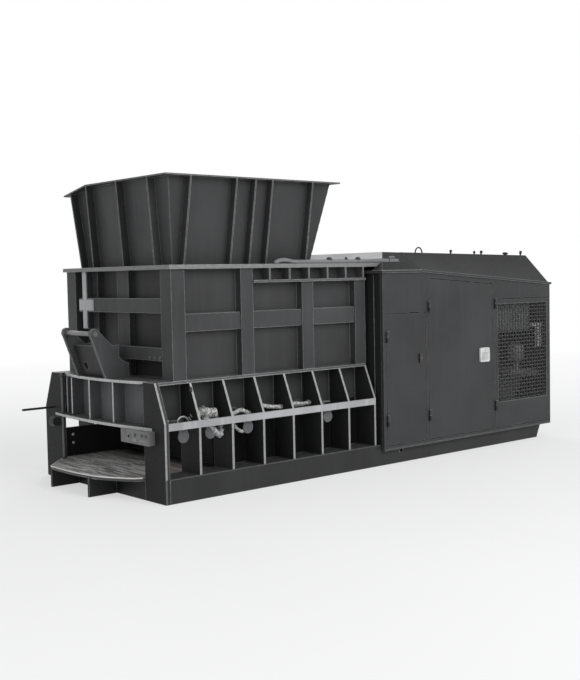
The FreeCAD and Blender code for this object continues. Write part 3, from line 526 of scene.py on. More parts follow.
def bare_metal(name, colour, roughness=0.36, metallic=0.8, grain=60.0):
    """Machined or plated metal with fine grain, a dull film and rubbed edges."""
    f = Finish(name)
    fine = f.noise(grain, (1, 1, 4), 5.0)
    film = f.noise(9.0, detail=4.0)
    tone = f.mix(f.span(fine, 0.3, 0.7), lighter(colour, 0.80), lighter(colour, 1.10))
    tone = f.mix(f.math("MULTIPLY", f.span(film, 0.48, 0.76), 0.5), tone, lighter(colour, 0.45))
    edge = f.rubbed(0.003)
    tone = f.mix(edge, tone, lighter(colour, 1.35))
    f.put(tone, f.shader.inputs["Base Color"])
    f.put(f.span(film, 0.2, 0.8, roughness - 0.08, roughness + 0.14), f.shader.inputs["Roughness"])
    f.shader.inputs["Metallic"].default_value = metallic
    f.bump(fine, 0.10, 0.0005)
    return f.material


def weld_metal(name, colour):
    """Painted weld: close ripples across the bead and a slightly shinier crest."""
    f = Finish(name)
    ripple = f.noise(240.0, detail=2.0)
    tone = f.mix(f.span(ripple, 0.3, 0.7), lighter(colour, 0.8), lighter(colour, 1.7))
    f.put(tone, f.shader.inputs["Base Color"])
    f.put(f.span(ripple, 0.2, 0.8, 0.36, 0.55), f.shader.inputs["Roughness"])
    f.bump(ripple, 0.6, 0.0025)
    return f.material


def film_wrap(name, colour):
    """Crumpled protective film or foil round a hose."""
    f = Finish(name)
    crease = f.noise(55.0, detail=6.0, rough=0.7)
    tone = f.mix(f.span(crease, 0.40, 0.60), lighter(colour, 0.30), colour)
    f.put(tone, f.shader.inputs["Base Color"])
    f.put(f.span(crease, 0.2, 0.8, 0.30, 0.60), f.shader.inputs["Roughness"])
    f.bump(crease, 0.8, 0.006)
    return f.material


def rubber(name, colour):
    """Black hose rubber with a faint dusty bloom."""
    f = Finish(name)
    bloom = f.noise(14.0, detail=5.0)
    f.put(f.mix(f.span(bloom, 0.4, 0.75), colour, lighter(colour, 2.6)), f.shader.inputs["Base Color"])
    f.put(f.span(bloom, 0.2, 0.8, 0.5, 0.7), f.shader.inputs["Roughness"])
    f.bump(f.noise(210.0), 0.2, 0.0008)
    return f.material


def sight_glass(name):
    """Pale plastic of the level gauge, a little oily low down."""
    f = Finish(name)
    film = f.noise(26.0, detail=4.0)
    f.put(f.mix(f.span(film, 0.4, 0.7), (0.55, 0.56, 0.55), (0.74, 0.75, 0.74)), f.shader.inputs["Base Color"])
    f.put(f.span(film, 0.2, 0.8, 0.14, 0.30), f.shader.inputs["Roughness"])
    f.bump(f.noise(120.0), 0.05, 0.0005)
    return f.material


def dress(node, material):
    """Give one CAD node its finish, leaving its mesh as it is."""
    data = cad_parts[node].data
    data.materials.clear()
    data.materials.append(material)


# Operators.


def report_done(operator, text):
    operator.report({"INFO"}, text)
    return {"FINISHED"}


class SHEAR_OT_finishes(bpy.types.Operator):
    """Give every piece of the frame its paint, wear and bare metal"""
    bl_idname = "shear.finishes"
    bl_label = "Frame finishes"

    def execute(self, context):
        p = paints()
        wear, dust = tuple(p.worn_edge), tuple(p.dust)
        frame_c, inner, door, cover = (
            tuple(c) for c in (p.frame_paint, p.inner_paint, p.door_paint, p.cover_paint))
        rim, pale_grey = lighter(wear, 1.5), (0.5, 0.5, 0.5)
        finishes = {
            "skid_rails": coated("skid_rail_paint", lighter(frame_c, 0.62)),
            "skid_floor_plate": scraped_steel("scraped_floor", lighter(p.scraped, 1.3), CHAMBER_X,
                lighter(frame_c, 1.1)),
            "skid_cross_beams": coated("cross_beam_paint", inner),
            "side_ribs_near": coated("near_bay_ribs", lighter(frame_c, 0.50), "X", 0.95),
            "side_ribs_far": coated("far_bay_ribs", lighter(frame_c, 0.50), "X", 0.95),
            "side_bands": coated("band_paint", lighter(frame_c, 7.6), roughness=0.4, rub=0.010,
                streaks=0.4),
            "bay_top_strips": coated("bay_strip_paint", lighter(frame_c, 1.6), rub=0.012),
            "shear_wall_near": coated("near_shear_wall", lighter(frame_c, 0.85), shade_below=BAY_SHADE_Z),
            "shear_wall_far": coated("far_shear_wall", frame_c, shade_below=BAY_SHADE_Z),
            "press_bed": coated("press_bed_paint", lighter(inner, 0.5)),
            "head_cheeks": coated("cheek_paint_plates", lighter(frame_c, 0.24), "X", 1.0, rub=0.005,
                roughness=0.6, edge_until=CHEEK_EDGE_X),
            "head_sill": coated("sill_paint", lighter(frame_c, 0.3)),
            "head_ring_low": coated("low_ring_paint", lighter(frame_c, 1.8), "Z", 0.9, worn=rim,
                rub=0.010),
            "head_deck": coated("head_deck_paint", lighter(frame_c, 1.3), "Z", 0.9, worn=rim, rub=0.010),
            "head_ring_wall": coated("ring_wall_paint", lighter(frame_c, 2.5)),
            "head_ring_ribs": coated("ring_ribs", lighter(frame_c, 2.1), "Y", 0.85, worn=rim),
            "apron_feet": coated("apron_foot_paint", lighter(frame_c, 0.38), roughness=0.6),
            "pivot_block": coated("pivot_paint", inner),
            "gauge_rod": coated("rod_paint", lighter(inner, 0.7)),
            "bracket_cheeks": coated("bracket_plate_paint", lighter(frame_c, 1.5), rub=0.008),
            "bracket_web": coated("bracket_web_paint", lighter(frame_c, 0.45)),
            "box_posts": coated("post_paint", frame_c),
            "box_bands": coated("box_band_paint", lighter(frame_c, 1.08), rub=0.007),
            "box_side_walls": coated("box_side_paint", lighter(frame_c, 0.86), streaks=0.25),
            "box_end_wall": coated("box_end_paint", lighter(frame_c, 0.5), streaks=0.25),
            "box_rear_wall": coated("box_rear_paint", lighter(frame_c, 0.8)),
            "deck_flange": coated("flange_paint", frame_c, "Z", 0.55, rub=0.008),
            "deck_ledges": coated("ledge_paint", lighter(frame_c, 1.7), rub=0.010),
            "deck_cover": painted("deck_cover_paint", (0.74, 0.74, 0.74), pale_grey, (0.82, 0.82, 0.82)),
            "hopper_side_walls": coated("hopper_side_paint", lighter(frame_c, 0.86), streaks=0.25),
            "hopper_end_walls": coated("hopper_end_paint", lighter(frame_c, 1.25), streaks=0.25),
            "hopper_lip": coated("lip_paint", lighter(frame_c, 1.1), "Z", 0.22, rub=0.004),
            "hopper_ribs": coated("hopper_rib_paint", lighter(frame_c, 0.95), rub=0.008),
            "pack_near_wall": coated("near_sheet_paint", door, rub=0.003, streaks=0.25),
            "pack_far_wall": coated("far_sheet_paint", door, rub=0.003, streaks=0.25),
            # Painted shade on the enclosure's left end wall, which faces away from the lights; the right end
            # keeps the door paint.
            "pack_end_walls": coated("end_sheet_paint", door, rub=0.003, roughness=0.6,
                darker_until=END_WALL_X),
            "pack_eave_sheet": coated("eave_paint", lighter(cover, 1.6), rub=0.006),
            "pack_hood": painted("hood_paint", cover, wear, lighter(cover, 1.15), rub=0.006, streaks=0.3,
                pale_hip=(0.92, 0.92, 0.92), gloss=0.04),
            "roof_fittings": coated("roof_fitting_paint", lighter(inner, 0.7), rub=0.003),
            "small_door": coated("small_door_paint", lighter(door, 0.96), rub=0.003, streaks=0.2),
            "main_door": coated("main_door_paint", lighter(door, 1.04), rub=0.003, streaks=0.2),
            "mesh_door": coated("mesh_door_paint", door, rub=0.004, streaks=0.2),
            "fixed_hinges": coated("hinge_paint", lighter(inner, 0.6), rub=0.002),
            "oil_tank": painted("tank_paint_light", tuple(p.tank), pale_grey, dust, rub=0.004),
            "pump_motor": painted("motor_paint_light", lighter(p.tank, 0.8), pale_grey, dust, rub=0.004),
            "discharge_apron": scraped_steel("scraped_apron", tuple(p.scraped)),
            "knife_block": bare_metal("knife_steel", (0.19, 0.19, 0.19), 0.45, 0.35),
            "bracket_pin": bare_metal("pin_steel", (0.22, 0.22, 0.22)),
            "small_door_latch": bare_metal("small_latch_metal", (0.07, 0.07, 0.07), 0.34),
            "paddle_latch": bare_metal("paddle_latch_metal", (0.78, 0.78, 0.78), 0.42, 0.15),
            "mesh_guard": bare_metal("guard_sheet_metal", (0.12, 0.12, 0.12)),
            "level_gauge": sight_glass("gauge_plastic"),
        }
        left = sorted(set(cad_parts) - set(finishes))
        if left:
            raise RuntimeError("nodes without a finish of their own: " + ", ".join(left))
        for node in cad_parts:
            dress(node, finishes[node])
        return report_done(self, "finishes given")


class SHEAR_OT_guard_mesh(bpy.types.Operator):
    """Weave the fine guard mesh into the mesh door"""
    bl_idname = "shear.guard_mesh"
    bl_label = "Guard mesh"

    def execute(self, context):
        low, high = (np.array(c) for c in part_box("mesh_guard"))
        s = sizes()
        y = (low[1] + high[1]) / 2
        r = s.mesh_wire
        nx = int(round((high[0] - low[0]) / s.mesh_pitch))
        nz = int(round((high[2] - low[2]) / (0.78 * s.mesh_pitch)))
        px, pz = (high[0] - low[0]) / nx, (high[2] - low[2]) / nz
        parts = []
        for i in range(1, nx):
            z = np.linspace(low[2], high[2], 2 * nz + 1)
            wave = r * np.cos(math.pi * (z - low[2]) / pz + math.pi * i)
            path = np.stack([np.full_like(z, low[0] + i * px), y + wave, z], 1)
            parts.append(capped(path, r, 5))
        for k in range(1, nz):
            x = np.linspace(low[0], high[0], 2 * nx + 1)
            wave = -r * np.cos(math.pi * (x - low[0]) / px + math.pi * k)
            path = np.stack([x, y + wave, np.full_like(x, low[2] + k * pz)], 1)
            parts.append(capped(path, r, 5))
        inset = 0.006
        for a, b in (((low[0], low[2]), (high[0], low[2])), ((high[0], low[2]), (high[0], high[2])),
                     ((high[0], high[2]), (low[0], high[2])), ((low[0], high[2]), (low[0], low[2]))):
            start = np.array([a[0], y, a[1]])
            end = np.array([b[0], y, b[1]])
            lean = np.sign((low + high) / 2 - (start + end) / 2) * inset * np.array([1, 0, 1])
            parts.append(rod(start + lean, end + lean, 0.004, 8))
        mesh = piece("guard_mesh_woven", parts, bare_metal("woven_wire", (0.052, 0.052, 0.052), 0.6, 0.0),
                     "mesh_door_leaf")
        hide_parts("mesh_guard")
        return report_done(self, "guard mesh woven")


class SHEAR_OT_welds(bpy.types.Operator):
    """Lay weld beads along the main joints of the plates"""
    bl_idname = "shear.welds"
    bl_label = "Weld beads"

    def execute(self, context):
        r = sizes().weld_leg
        wide = 1850.0
        lines = []

        def both(a, b):
            lines.append((a, b))
            lines.append(((a[0], wide - a[1], a[2]), (b[0], wide - b[1], b[2])))

        for place in (178, 853, 1508, 2128):
            top = 1778 if place < 1000 else 1660
            both((place + 126, 197, 918), (place + 126, 197, top))
            if place > 178:
                both((place, 197, 918), (place, 197, top))
        for first, last in ((304, 853), (979, 1508), (1634, 2128)):
            for z in (1290, 1428):
                both((first, 197, z), (last, 197, z))
            both((first, 197, 916), (last, 197, 916))
        for i in range(1, 8):
            x = 318 * i
            both((x, 22, 186), (x, 243, 186))
            both((x + 20, 22, 186), (x + 20, 243, 186))
            both((x, 244, 560), (x, 244, 892))
            both((x + 20, 244, 560), (x + 20, 244, 892))
        both((40, 0, 187), (2246, 0, 187))
        for y0, y1 in ((271, 837), (1013, 1322), (1460, 1579)):
            lines.append(((293, y0, 918), (293, y1, 918)))
        for y in (321, 686, 1035, 1405, 1547):
            for side in (-9, 9):
                x = 80 if abs(y - 925) > 400 else 62
                lines.append(((-20, y + side, 572), (x, y + side, 572)))
                lines.append(((-20, y + side, 892), (x, y + side, 892)))
        for y in (753, 1188):
            for side in (0, 25):
                lines.append(((-38, y + side, 917), (176, y + side, 917)))
        lines.append(((315, 300, 1811), (1745, 300, 1811)))
        lines.append(((315, 1585, 1811), (1745, 1585, 1811)))
        lines.append(((315, 300, 1811), (315, 1585, 1811)))
        lines.append(((1745, 300, 1811), (1745, 1585, 1811)))
        lines.append(((315, 300, 1811), (243, 220, 2498)))
        lines.append(((1745, 300, 1811), (1930, 220, 2498)))
        parts = [bead(at(*a), at(*b), r, i * 0.7) for i, (a, b) in enumerate(lines)]
        piece("weld_beads", parts, weld_metal("weld_bead_paint", lighter(paints().frame_paint, 1.15)))
        return report_done(self, "welds laid")


class SHEAR_OT_bolts(bpy.types.Operator):
    """Set the bolt heads that show on the head, the bands and the roof"""
    bl_idname = "shear.bolts"
    bl_label = "Bolts"

    def execute(self, context):
        w = sizes().bolt_width
        parts = []
        for y in (300, 372, 444):
            parts += hex_bolt(at(184, y, 1086), (-1, 0, 0), 0.8 * w, 0.010)
        parts += hex_bolt(at(318, 95, 845), (-1, 0, 0), w, 0.012)
        for y in (165, 225, 320):
            parts += hex_bolt(at(-60, y, 512), (-1, 0, 0), 0.7 * w, 0.008)
        steel = bare_metal("bolt_steel", (0.13, 0.13, 0.13), 0.42, 0.6)
        piece("frame_bolts", parts, steel)
        left_x, right_x, near_y = 2602, 4748, 272
        roof_left, roof_right = at(left_x, 0, 1912)[2], at(right_x, 0, 1875)[2]
        caps = []
        for x, width, tall in ((3590, 0.013, 0.045), (3948, 0.012, 0.040), (4056, 0.014, 0.046),
                               (4445, 0.028, 0.034), (4700, 0.014, 0.055)):
            base = at(x, near_y, 0)
            base[2] = roof_left + (roof_right - roof_left) * (x - left_x) / (right_x - left_x) - 0.006
            caps.append(turned(base, (0.12, 0, 1), [(0, 0), (0.6 * width, 0), (0.6 * width, 0.4 * tall),
                                                    (width, 0.45 * tall), (width, 0.9 * tall),
                                                    (0.7 * width, tall), (0, tall)], 8))
        a = np.linspace(-0.25, math.pi + 0.25, 40)
        base = at(3150, near_y + 20, 1898)
        arc = base + 0.058 * np.stack([np.cos(a), 0.15 * np.cos(a), np.sin(a)], 1)
        caps.append(capped(arc, 0.0065, 10))
        fittings = piece("roof_eye_and_studs", caps,
                         painted("roof_fitting_steel", (0.02, 0.02, 0.021), (0.1, 0.1, 0.1),
                                 tuple(paints().dust), rub=0.002))
        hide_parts("roof_fittings")
        return report_done(self, "bolts set")


class SHEAR_OT_hydraulics(bpy.types.Operator):
    """Fit the wrapped hoses, bent pipes and shield tabs in the near bays"""
    bl_idname = "shear.hydraulics"
    bl_label = "Bay hydraulics"

    def execute(self, context):
        r = sizes().hose_radius
        wrapped = [
            hose(places([(345, 130, 600), (370, 95, 648), (430, 80, 668), (480, 85, 640), (520, 90, 655),
                         (560, 110, 610)]), 1.9 * r, 14, 0.36),
            hose(places([(420, 90, 640), (470, 70, 560), (520, 70, 500), (575, 75, 470), (600, 100, 520),
                         (590, 130, 590)]), 1.3 * r, 14, 0.34),
            hose(places([(470, 120, 630), (500, 100, 560), (520, 110, 520)]), 1.3 * r, 12, 0.30),
            hose(places([(690, 120, 600), (730, 90, 622), (790, 90, 640), (850, 95, 622), (900, 120, 600)]),
                 1.0 * r, 12, 0.26),
            hose(places([(720, 120, 570), (745, 85, 500), (800, 75, 470), (860, 85, 500), (890, 120, 560)]),
                 0.8 * r, 12, 0.2),
            hose(places([(975, 110, 640), (1020, 90, 655), (1090, 85, 640), (1180, 90, 630), (1235, 110, 620)]),
                 1.0 * r, 12, 0.12),
            hose(places([(1330, 110, 632), (1380, 90, 640), (1450, 88, 632), (1540, 100, 630)]), 0.9 * r,
                 12, 0.10),
        ]
        piece("wrapped_hoses", wrapped, film_wrap("hose_film", tuple(paints().hose)))
        black = [
            hose(places([(345, 200, 540), (360, 150, 610), (390, 120, 640), (460, 120, 620), (500, 200, 520)]),
                 r, 12),
            hose(places([(660, 200, 600), (700, 120, 650), (760, 110, 655), (840, 140, 600), (900, 210, 560)]),
                 r, 12),
            hose(places([(985, 200, 540), (1010, 120, 620), (1100, 110, 650), (1240, 200, 600)]), r, 12),
            hose(places([(1300, 210, 600), (1340, 120, 645), (1430, 110, 655), (1560, 210, 610)]), r, 12),
            hose(places([(60, 200, 590), (110, 110, 612), (230, 105, 612), (300, 200, 600)]), r, 12),
        ]
        piece("rubber_hoses", black, rubber("hose_rubber", (0.016, 0.016, 0.017)))
        pipes = [hose(places([(168, 80, 560), (180, 80, 625), (225, 80, 645), (268, 80, 622), (285, 80, 560)]),
                      0.55 * r, 12),
                 hose(places([(72, 120, 560), (85, 110, 612), (150, 100, 620), (172, 90, 600)]), 0.5 * r, 12)]
        unions = []
        for x, y, z in ((345, 125, 600), (560, 112, 612), (700, 118, 600), (898, 118, 600), (980, 110, 636),
                        (1232, 110, 622), (1335, 110, 630), (1536, 100, 630), (1690, 100, 600)):
            unions.append(turned(at(x - 16, y, z), (1, 0, 0.1),
                                 [(0, 0), (0.024, 0), (0.024, 0.018), (0.019, 0.020), (0.019, 0.032),
                                  (0, 0.032)], 6))
        metal = bare_metal("pipe_metal", (0.30, 0.30, 0.30), 0.35, 0.6)
        piece("bent_pipes", pipes + unions, metal)
        tabs = []
        for x, z in ((213, 495), (470, 500), (845, 500), (1720, 500)):
            shield = [(0, -0.005), (0.048, -0.005), (0.052, 0), (0.048, 0.005), (0, 0.005)]
            tabs.append(turned(at(x, 60, z), (0, 1, 0), shield, 28))
            tabs.append(plate(at(x - 40, 58, z), at(x + 40, 62, 568)))
        grey = coated("tab_paint", lighter(paints().frame_paint, 2.4), rub=0.004)
        piece("shield_tabs", tabs, grey)
        clips = [plate(at(1640, 205, 705), at(1700, 243, 720)), plate(at(1655, 90, 616), at(1780, 150, 628)),
                 plate(at(1345, 60, 616), at(1450, 110, 630))]
        piece("bay_clips", clips, grey)
        return report_done(self, "hydraulics fitted")


class SHEAR_OT_enclosure(bpy.types.Operator):
    """Add the enclosure's seams, latch details, deck bumps and what hangs behind the mesh"""
    bl_idname = "shear.enclosure"
    bl_label = "Enclosure details"

    def execute(self, context):
        p = paints()
        wear, dust = tuple(p.worn_edge), tuple(p.dust)
        trim = coated("trim_paint", lighter(p.door_paint, 1.6), rub=0.003)
        strips = [plate(at(2301, -53, 136), at(4759, -49, 150)),
                  plate(at(3906, -54, 422), at(4696, -43, 431)),
                  plate(at(3906, -53, 1392), at(4696, -49, 1398)),
                  plate(at(3902, -53, 426), at(3908, -49, 1396)),
                  plate(at(4694, -53, 426), at(4700, -49, 1396))]
        piece("door_trim", strips[1:], trim, "mesh_door_leaf")
        piece("sill_trim", strips[:1], trim)
        cover = coated("mesh_sill_paint", tuple(p.door_paint), rub=0.0008, streaks=0.2)
        piece("mesh_sill", [plate(at(3904, -53, 352), at(4698, -44, 425))], cover, "mesh_door_leaf")
        seam = [plate(at(2297, 56, 190), at(2301, 62, 1700))]
        piece("end_wall_seam", seam, coated("seam_paint", lighter(p.door_paint, 0.35)))
        low = at(3620, -66, 843)
        paddle = [plate(low + np.array([0.022, -0.0035, 0.020]), low + np.array([0.118, 0.001, 0.096])),
                  plate(low + np.array([0.030, -0.0068, 0.028]), low + np.array([0.110, -0.003, 0.060])),
                  turned(low + np.array([0.070, 0.001, 0.114]), (0, -1, 0),
                         [(0, 0), (0.011, 0), (0.011, 0.004), (0.008, 0.005), (0, 0.005)], 20)]
        piece("paddle_parts", paddle, bare_metal("paddle_metal", (0.60, 0.60, 0.60), 0.35, 0.4),
              "main_door_leaf")
        spindle_x = 2777
        turn = [turned(at(spindle_x, -64, 937), (0, -1, 0),
                       [(0, 0), (0.013, 0), (0.013, 0.004), (0.010, 0.006), (0, 0.006)], 20),
                plate(at(spindle_x - 4, -72.8, 922), at(spindle_x + 4, -68, 952))]
        piece("turn_handle", turn, bare_metal("turn_metal", (0.10, 0.10, 0.10), 0.35, 0.6),
              "small_door_leaf")
        hang = [plate(at(4540, 8, 1150), at(4690, 40, 1182)), plate(at(4612, 8, 926), at(4690, 30, 1150))]
        rods = [rod(at(4688, 24, 1166), at(4731, 24, 1166), 0.010),
                rod(at(4688, 20, 960), at(4731, 20, 960), 0.010)]
        piece("gauge_behind_mesh", hang + rods, bare_metal("bright_bracket", (0.86, 0.86, 0.86), 0.42, 0.0))
        bright = [turned(at(4395, 110, 800), (0, 0, 1), [(0, 0), (0.070, 0), (0.085, 0.02), (0.088, 0.12),
                                                         (0.080, 0.155), (0.05, 0.175), (0, 0.18)], 28),
                  rod(at(4395, 110, 690), at(4395, 110, 802), 0.030, 16),
                  rod(at(4270, 110, 700), at(4731, 110, 650), 0.038, 18),
                  rod(at(4290, 110, 698), at(4290, 335, 698), 0.030, 16)]
        piece("pipes_behind_mesh", bright, bare_metal("pale_pipe", (0.40, 0.40, 0.40), 0.45, 0.3))
        tank = painted("tank_front_paint", tuple(p.tank), (0.5, 0.5, 0.5), dust, rub=0.004)
        piece("tank_front", [plate(at(3870, 60, 1112), at(4560, 332, 1400), 0.012)], tank)
        duct = swept(bent(places([(1212, 132, 1816), (1232, 132, 1822), (1268, 132, 1836), (1326, 132, 1840),
                                  (1390, 132, 1832), (1440, 132, 1825), (1700, 132, 1825), (2000, 132, 1825),
                                  (2300, 132, 1825), (2664, 132, 1825), (2668, 132, 1825)]), 90),
                     np.concatenate([[0], np.linspace(0.012, 0.019, 8), np.full(80, 0.019), [0]]), 14)
        tabs = [plate(at(2600, 150, 1810), at(2672, 156, 1872)),
                plate(at(2560, 103, 1810), at(2670, 1747, 1845))]
        duct_paint = coated("deck_duct_paint", lighter(p.cover_paint, 8.0), rub=0.004)
        piece("deck_edge_duct", [duct] + tabs, duct_paint)
        knobs = [turned(at(x, 134, 1840), (0, 0, 1), [(0, 0), (r, 0), (r, 0.010), (0.7 * r, 0.022), (0, 0.026)],
                        20) for x, r in ((1840, 0.026), (2040, 0.014), (2185, 0.024))]
        piece("deck_knobs", knobs, bare_metal("knob_metal", (0.03, 0.03, 0.03), 0.4, 0.3))
        left_x, right_x = 2830, 4747
        left_eave, right_eave, right_top, left_top = 1741, 1595, 1876, 1908.2
        sides = []
        for foot, top in ((-38, 242), (1888, 1608)):
            corners = [at(left_x, foot, left_eave), at(right_x, foot, right_eave),
                       at(right_x, top, right_top), at(left_x, top, left_top)]
            sides.append(saddle(corners, 0.003))
        sheet_paint = painted("hood_sheet_paint", tuple(p.cover_paint), wear,
                              lighter(p.cover_paint, 1.15), rub=0.002, streaks=0.15, gloss=0.04)
        piece("hood_side_sheets", sides, sheet_paint)
        return report_done(self, "enclosure detailed")


class SHEAR_OT_head_details(bpy.types.Operator):
    """Add the end band's plates, painted pale as a highlight, the knife's shims and black sheets of painted
    shade in the far windows
    """
    bl_idname = "shear.head_details"
    bl_label = "Head details"

    def execute(self, context):
        p = paints()
        # Painted highlight: the plates on the end band are painted pale where they catch the light from the
        # left.
        bright = coated("band_plate_paint", lighter(p.frame_paint, 10.0), rub=0.005)
        plates = [plate(at(179, 1420, 1449), at(184, 1526, 1541)),
                  plate(at(179, 1290, 1447), at(184, 1408, 1543)),
                  plate(at(181, 1404, 1296), at(185, 1468, 1776))]
        piece("band_plates", plates, bright)
        marks = [plate(at(-64, 150, 468), at(-59, 262, 478)), plate(at(-64, 292, 460), at(-59, 344, 484))]
        marks.append(turned(at(-60, 403, 495), (-1, 0, 0),
                            [(0.0155, -0.001), (0.024, -0.001), (0.024, 0.004), (0.0155, 0.004),
                             (0.0155, -0.001)], 28))
        # Painted shade: black sheets stand in the far windows, where the inside of the head lies in shadow.
        shade_sheets = [plate(at(40, 1584, 185), at(636, 1602, 436)), plate(at(392, 1584, 430), at(636, 1602, 546))]
        piece("far_shade_sheets", shade_sheets, painted("painted_shade_black", (0.010, 0.010, 0.010), (0.04, 0.04, 0.04),
                                          (0.02, 0.02, 0.02), roughness=0.8))
        ends = [turned(at(x, 1584, z), (0, -1, 0), [(0, 0), (0.013, 0), (0.013, 0.008), (0.009, 0.012),
                                                    (0, 0.012)], 16) for x, z in ((110, 372), (112, 300))]
        piece("far_window_bolts", ends, bare_metal("far_window_bolt_steel", (0.45, 0.45, 0.45), 0.3, 0.5))
        piece("knife_shims", marks, bare_metal("shim_steel", (0.26, 0.26, 0.26), 0.35, 0.6))
        return report_done(self, "head detailed")


class SHEAR_OT_apron(bpy.types.Operator):
    """Lay the worn apron plate with its cut far corner and its bowed front, and square its feet"""
    bl_idname = "shear.apron"
    bl_label = "Discharge apron"

    def execute(self, context):
        p = paints()
        low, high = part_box("discharge_apron")
        bow = [(-20, 286), (-88, 338), (-150, 446), (-202, 546), (-239, 673), (-260, 857), (-266, 1063),
               (-258, 1300)]
        cut_corner = at(-246, 1322, 0)[:2]
        front = bent(places([(x, y, 0) for x, y in bow]), 60)[:, :2]
        corners = np.array([[high[0], high[1]], [high[0], low[1]]])
        far_side = [at(-4, 0, 0)[0], high[1] - 0.001]
        outline = np.concatenate([front, [cut_corner, far_side], corners])
        parts = [sheet(outline, low[2] - 0.001, high[2] + 0.004, 0.004)]
        steel = scraped_steel("scraped_apron_plate", tuple(p.scraped))
        apron = piece("apron_plate_worn", parts, steel)
        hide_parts("discharge_apron")
        edge = np.concatenate([front, [cut_corner, at(-6, 1572, 0)[:2]]])
        edge = np.concatenate([edge, np.full((len(edge), 1), high[2])], 1)
        lip_metal = bare_metal("apron_lip_metal", (0.85, 0.85, 0.85), 0.45, 0.0)
        piece("apron_lip", [capped(edge, 0.0055, 8)], lip_metal)
        feet = [plate(at(-255, y - 1, 0.5), at(-2, y + 21, 163)) for y in (700, 1300)]
        foot_paint = coated("square_foot_paint", lighter(p.frame_paint, 0.38), roughness=0.6)
        piece("square_feet", feet, foot_paint)
        return report_done(self, "apron laid")


class SHEAR_OT_studio(bpy.types.Operator):
    """Set the pale floor, the soft lights, the world and the camera"""
    bl_idname = "shear.studio"
    bl_label = "Studio"

    def execute(self, context):
        scene = context.scene
        scene.view_settings.view_transform = "Standard"
        data = bpy.data.meshes.new("studio_floor")
        e, z = 60.0, -0.001
        data.from_pydata([(-e, -e, z), (e, -e, z), (e, e, z), (-e, e, z)], [], [(0, 1, 2, 3)])
        floor = bpy.data.objects.new("studio_floor", data)
        scene.collection.objects.link(floor)
        f = Finish("studio_floor_paint")
        f.put(f.mix(f.span(f.noise(0.6), 0.3, 0.7), (0.90, 0.90, 0.90), (0.94, 0.94, 0.94)),
              f.shader.inputs["Base Color"])
        f.shader.inputs["Roughness"].default_value = 0.9
        far = f.tree.nodes.new("ShaderNodeVectorMath")
        far.operation = "LENGTH"
        f.join(f.place, far.inputs[0])
        glow = f.tree.nodes.new("ShaderNodeEmission")
        rays = f.tree.nodes.new("ShaderNodeLightPath")
        blend = f.tree.nodes.new("ShaderNodeMixShader")
        spread = f.span(far.outputs["Value"], 3.0, 14.0, 0.55, 1.0)
        share = f.math("MULTIPLY", spread, seen_directly(f.tree, rays))
        f.join(share, blend.inputs["Fac"])
        f.join(f.shader.outputs["BSDF"], blend.inputs[1])
        f.join(glow.outputs["Emission"], blend.inputs[2])
        ending = next(n for n in f.tree.nodes if n.bl_idname == "ShaderNodeOutputMaterial")
        f.join(blend.outputs["Shader"], ending.inputs["Surface"])
        data.materials.append(f.material)
        world = bpy.data.worlds.new("studio_world")
        scene.world = world
        world.use_nodes = True
        tree = world.node_tree
        tree.nodes.clear()
        output = tree.nodes.new("ShaderNodeOutputWorld")
        pale = tree.nodes.new("ShaderNodeBackground")
        pale.inputs["Color"].default_value = (1, 1, 1, 1)
        pale.inputs["Strength"].default_value = 1.0
        light = tree.nodes.new("ShaderNodeBackground")
        light.inputs["Color"].default_value = (0.97, 0.985, 1, 1)
        light.inputs["Strength"].default_value = 0.36
        rays = tree.nodes.new("ShaderNodeLightPath")
        both = tree.nodes.new("ShaderNodeMixShader")
        tree.links.new(seen_directly(tree, rays), both.inputs["Fac"])
        tree.links.new(light.outputs[0], both.inputs[1])
        tree.links.new(pale.outputs[0], both.inputs[2])
        tree.links.new(both.outputs[0], output.inputs["Surface"])
        for name, place, size, power in (("key_light", (-0.5, -9.5, 6.5), 6.0, 560.0),
                                         ("left_light", (-10.0, -2.5, 5.0), 5.0, 70.0),
                                         ("right_light", (10.5, 1.5, 5.0), 5.0, 120.0),
                                         ("back_light", (4.0, 9.0, 7.0), 6.0, 260.0)):
            lamp = bpy.data.lights.new(name, "AREA")
            lamp.size = size
            lamp.energy = power
            item = bpy.data.objects.new(name, lamp)
            scene.collection.objects.link(item)
            item.location = place
            aim = np.array([0.0, 0.0, 1.0]) - np.array(place)
            item.rotation_euler = direction_euler(aim)
        camera_data = bpy.data.cameras.new("photo_camera")
        camera_data.sensor_fit = "HORIZONTAL"
        camera_data.sensor_width = SENSOR_MM
        camera_data.lens = FOCAL_PIXELS / PICTURE_PIXELS * SENSOR_MM
        camera_data.clip_end = 200.0
        camera = bpy.data.objects.new("photo_camera", camera_data)
        scene.collection.objects.link(camera)
        camera.matrix_world = camera_matrix(CAMERA_PLACE, *CAMERA_TURN)
        scene.camera = camera
        return report_done(self, "studio set")


def seen_directly(tree, rays):
    """One for rays from the camera, from gloss and through glass, and nought for soft light."""
    share = rays.outputs["Is Camera Ray"]
    for kind in ("Is Glossy Ray", "Is Transmission Ray"):
        larger = tree.nodes.new("ShaderNodeMath")
        larger.operation = "MAXIMUM"
        tree.links.new(share, larger.inputs[0])
        tree.links.new(rays.outputs[kind], larger.inputs[1])
        share = larger.outputs[0]
    return share


def direction_euler(aim):
    """Turn that points a lamp's -Z along a direction."""
    return Vector(aim).to_track_quat("-Z", "Y").to_euler()


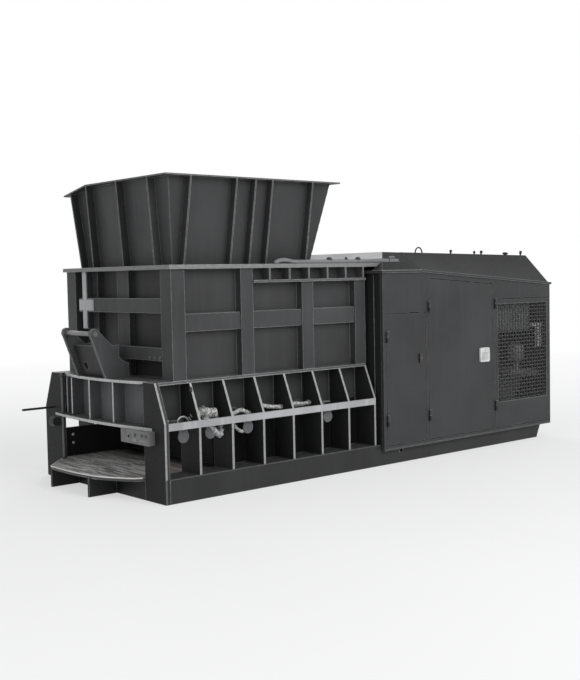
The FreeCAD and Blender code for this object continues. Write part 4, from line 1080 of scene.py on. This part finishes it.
def camera_matrix(place, yaw, pitch, roll):
    """Camera pose from its place, compass angle off +Y, tilt and roll in degrees."""
    yaw, pitch, roll = (math.radians(v) for v in (yaw, pitch, roll))
    ahead = np.array([math.sin(yaw) * math.cos(pitch), math.cos(yaw) * math.cos(pitch), math.sin(pitch)])
    right = np.array([math.cos(yaw), -math.sin(yaw), 0.0])
    up = np.cross(right, ahead)
    side = math.cos(roll) * right + math.sin(roll) * up
    top = -math.sin(roll) * right + math.cos(roll) * up
    pose = np.eye(4)
    pose[:3, 0], pose[:3, 1], pose[:3, 2], pose[:3, 3] = side, top, -ahead, place
    return Matrix(pose.tolist())


OPERATORS = [SHEAR_OT_finishes, SHEAR_OT_guard_mesh, SHEAR_OT_welds, SHEAR_OT_bolts, SHEAR_OT_hydraulics,
             SHEAR_OT_enclosure, SHEAR_OT_head_details, SHEAR_OT_apron, SHEAR_OT_studio]


class SHEAR_PT_looks(bpy.types.Panel):
    """Lists the operators that dress the shear"""
    bl_idname = "SHEAR_PT_looks"
    bl_label = "Scrap Shear"
    bl_space_type = "VIEW_3D"
    bl_region_type = "UI"
    bl_category = "Scrap Shear"

    def draw(self, context):
        for operator in OPERATORS:
            self.layout.operator(operator.bl_idname)


CLASSES = [ShearPaints, ShearSizes] + OPERATORS + [SHEAR_PT_looks]


def register():
    for item in CLASSES:
        bpy.utils.register_class(item)
    bpy.types.Scene.shear_paints = bpy.props.PointerProperty(type=ShearPaints)
    bpy.types.Scene.shear_sizes = bpy.props.PointerProperty(type=ShearSizes)


def unregister():
    del bpy.types.Scene.shear_sizes
    del bpy.types.Scene.shear_paints
    for item in reversed(CLASSES):
        bpy.utils.unregister_class(item)


def main():
    register()
    bpy.ops.shear.finishes()
    bpy.ops.shear.guard_mesh()
    bpy.ops.shear.welds()
    bpy.ops.shear.bolts()
    bpy.ops.shear.hydraulics()
    bpy.ops.shear.enclosure()
    bpy.ops.shear.head_details()
    bpy.ops.shear.apron()
    bpy.ops.shear.studio()


if __name__ == "__main__":
    main()
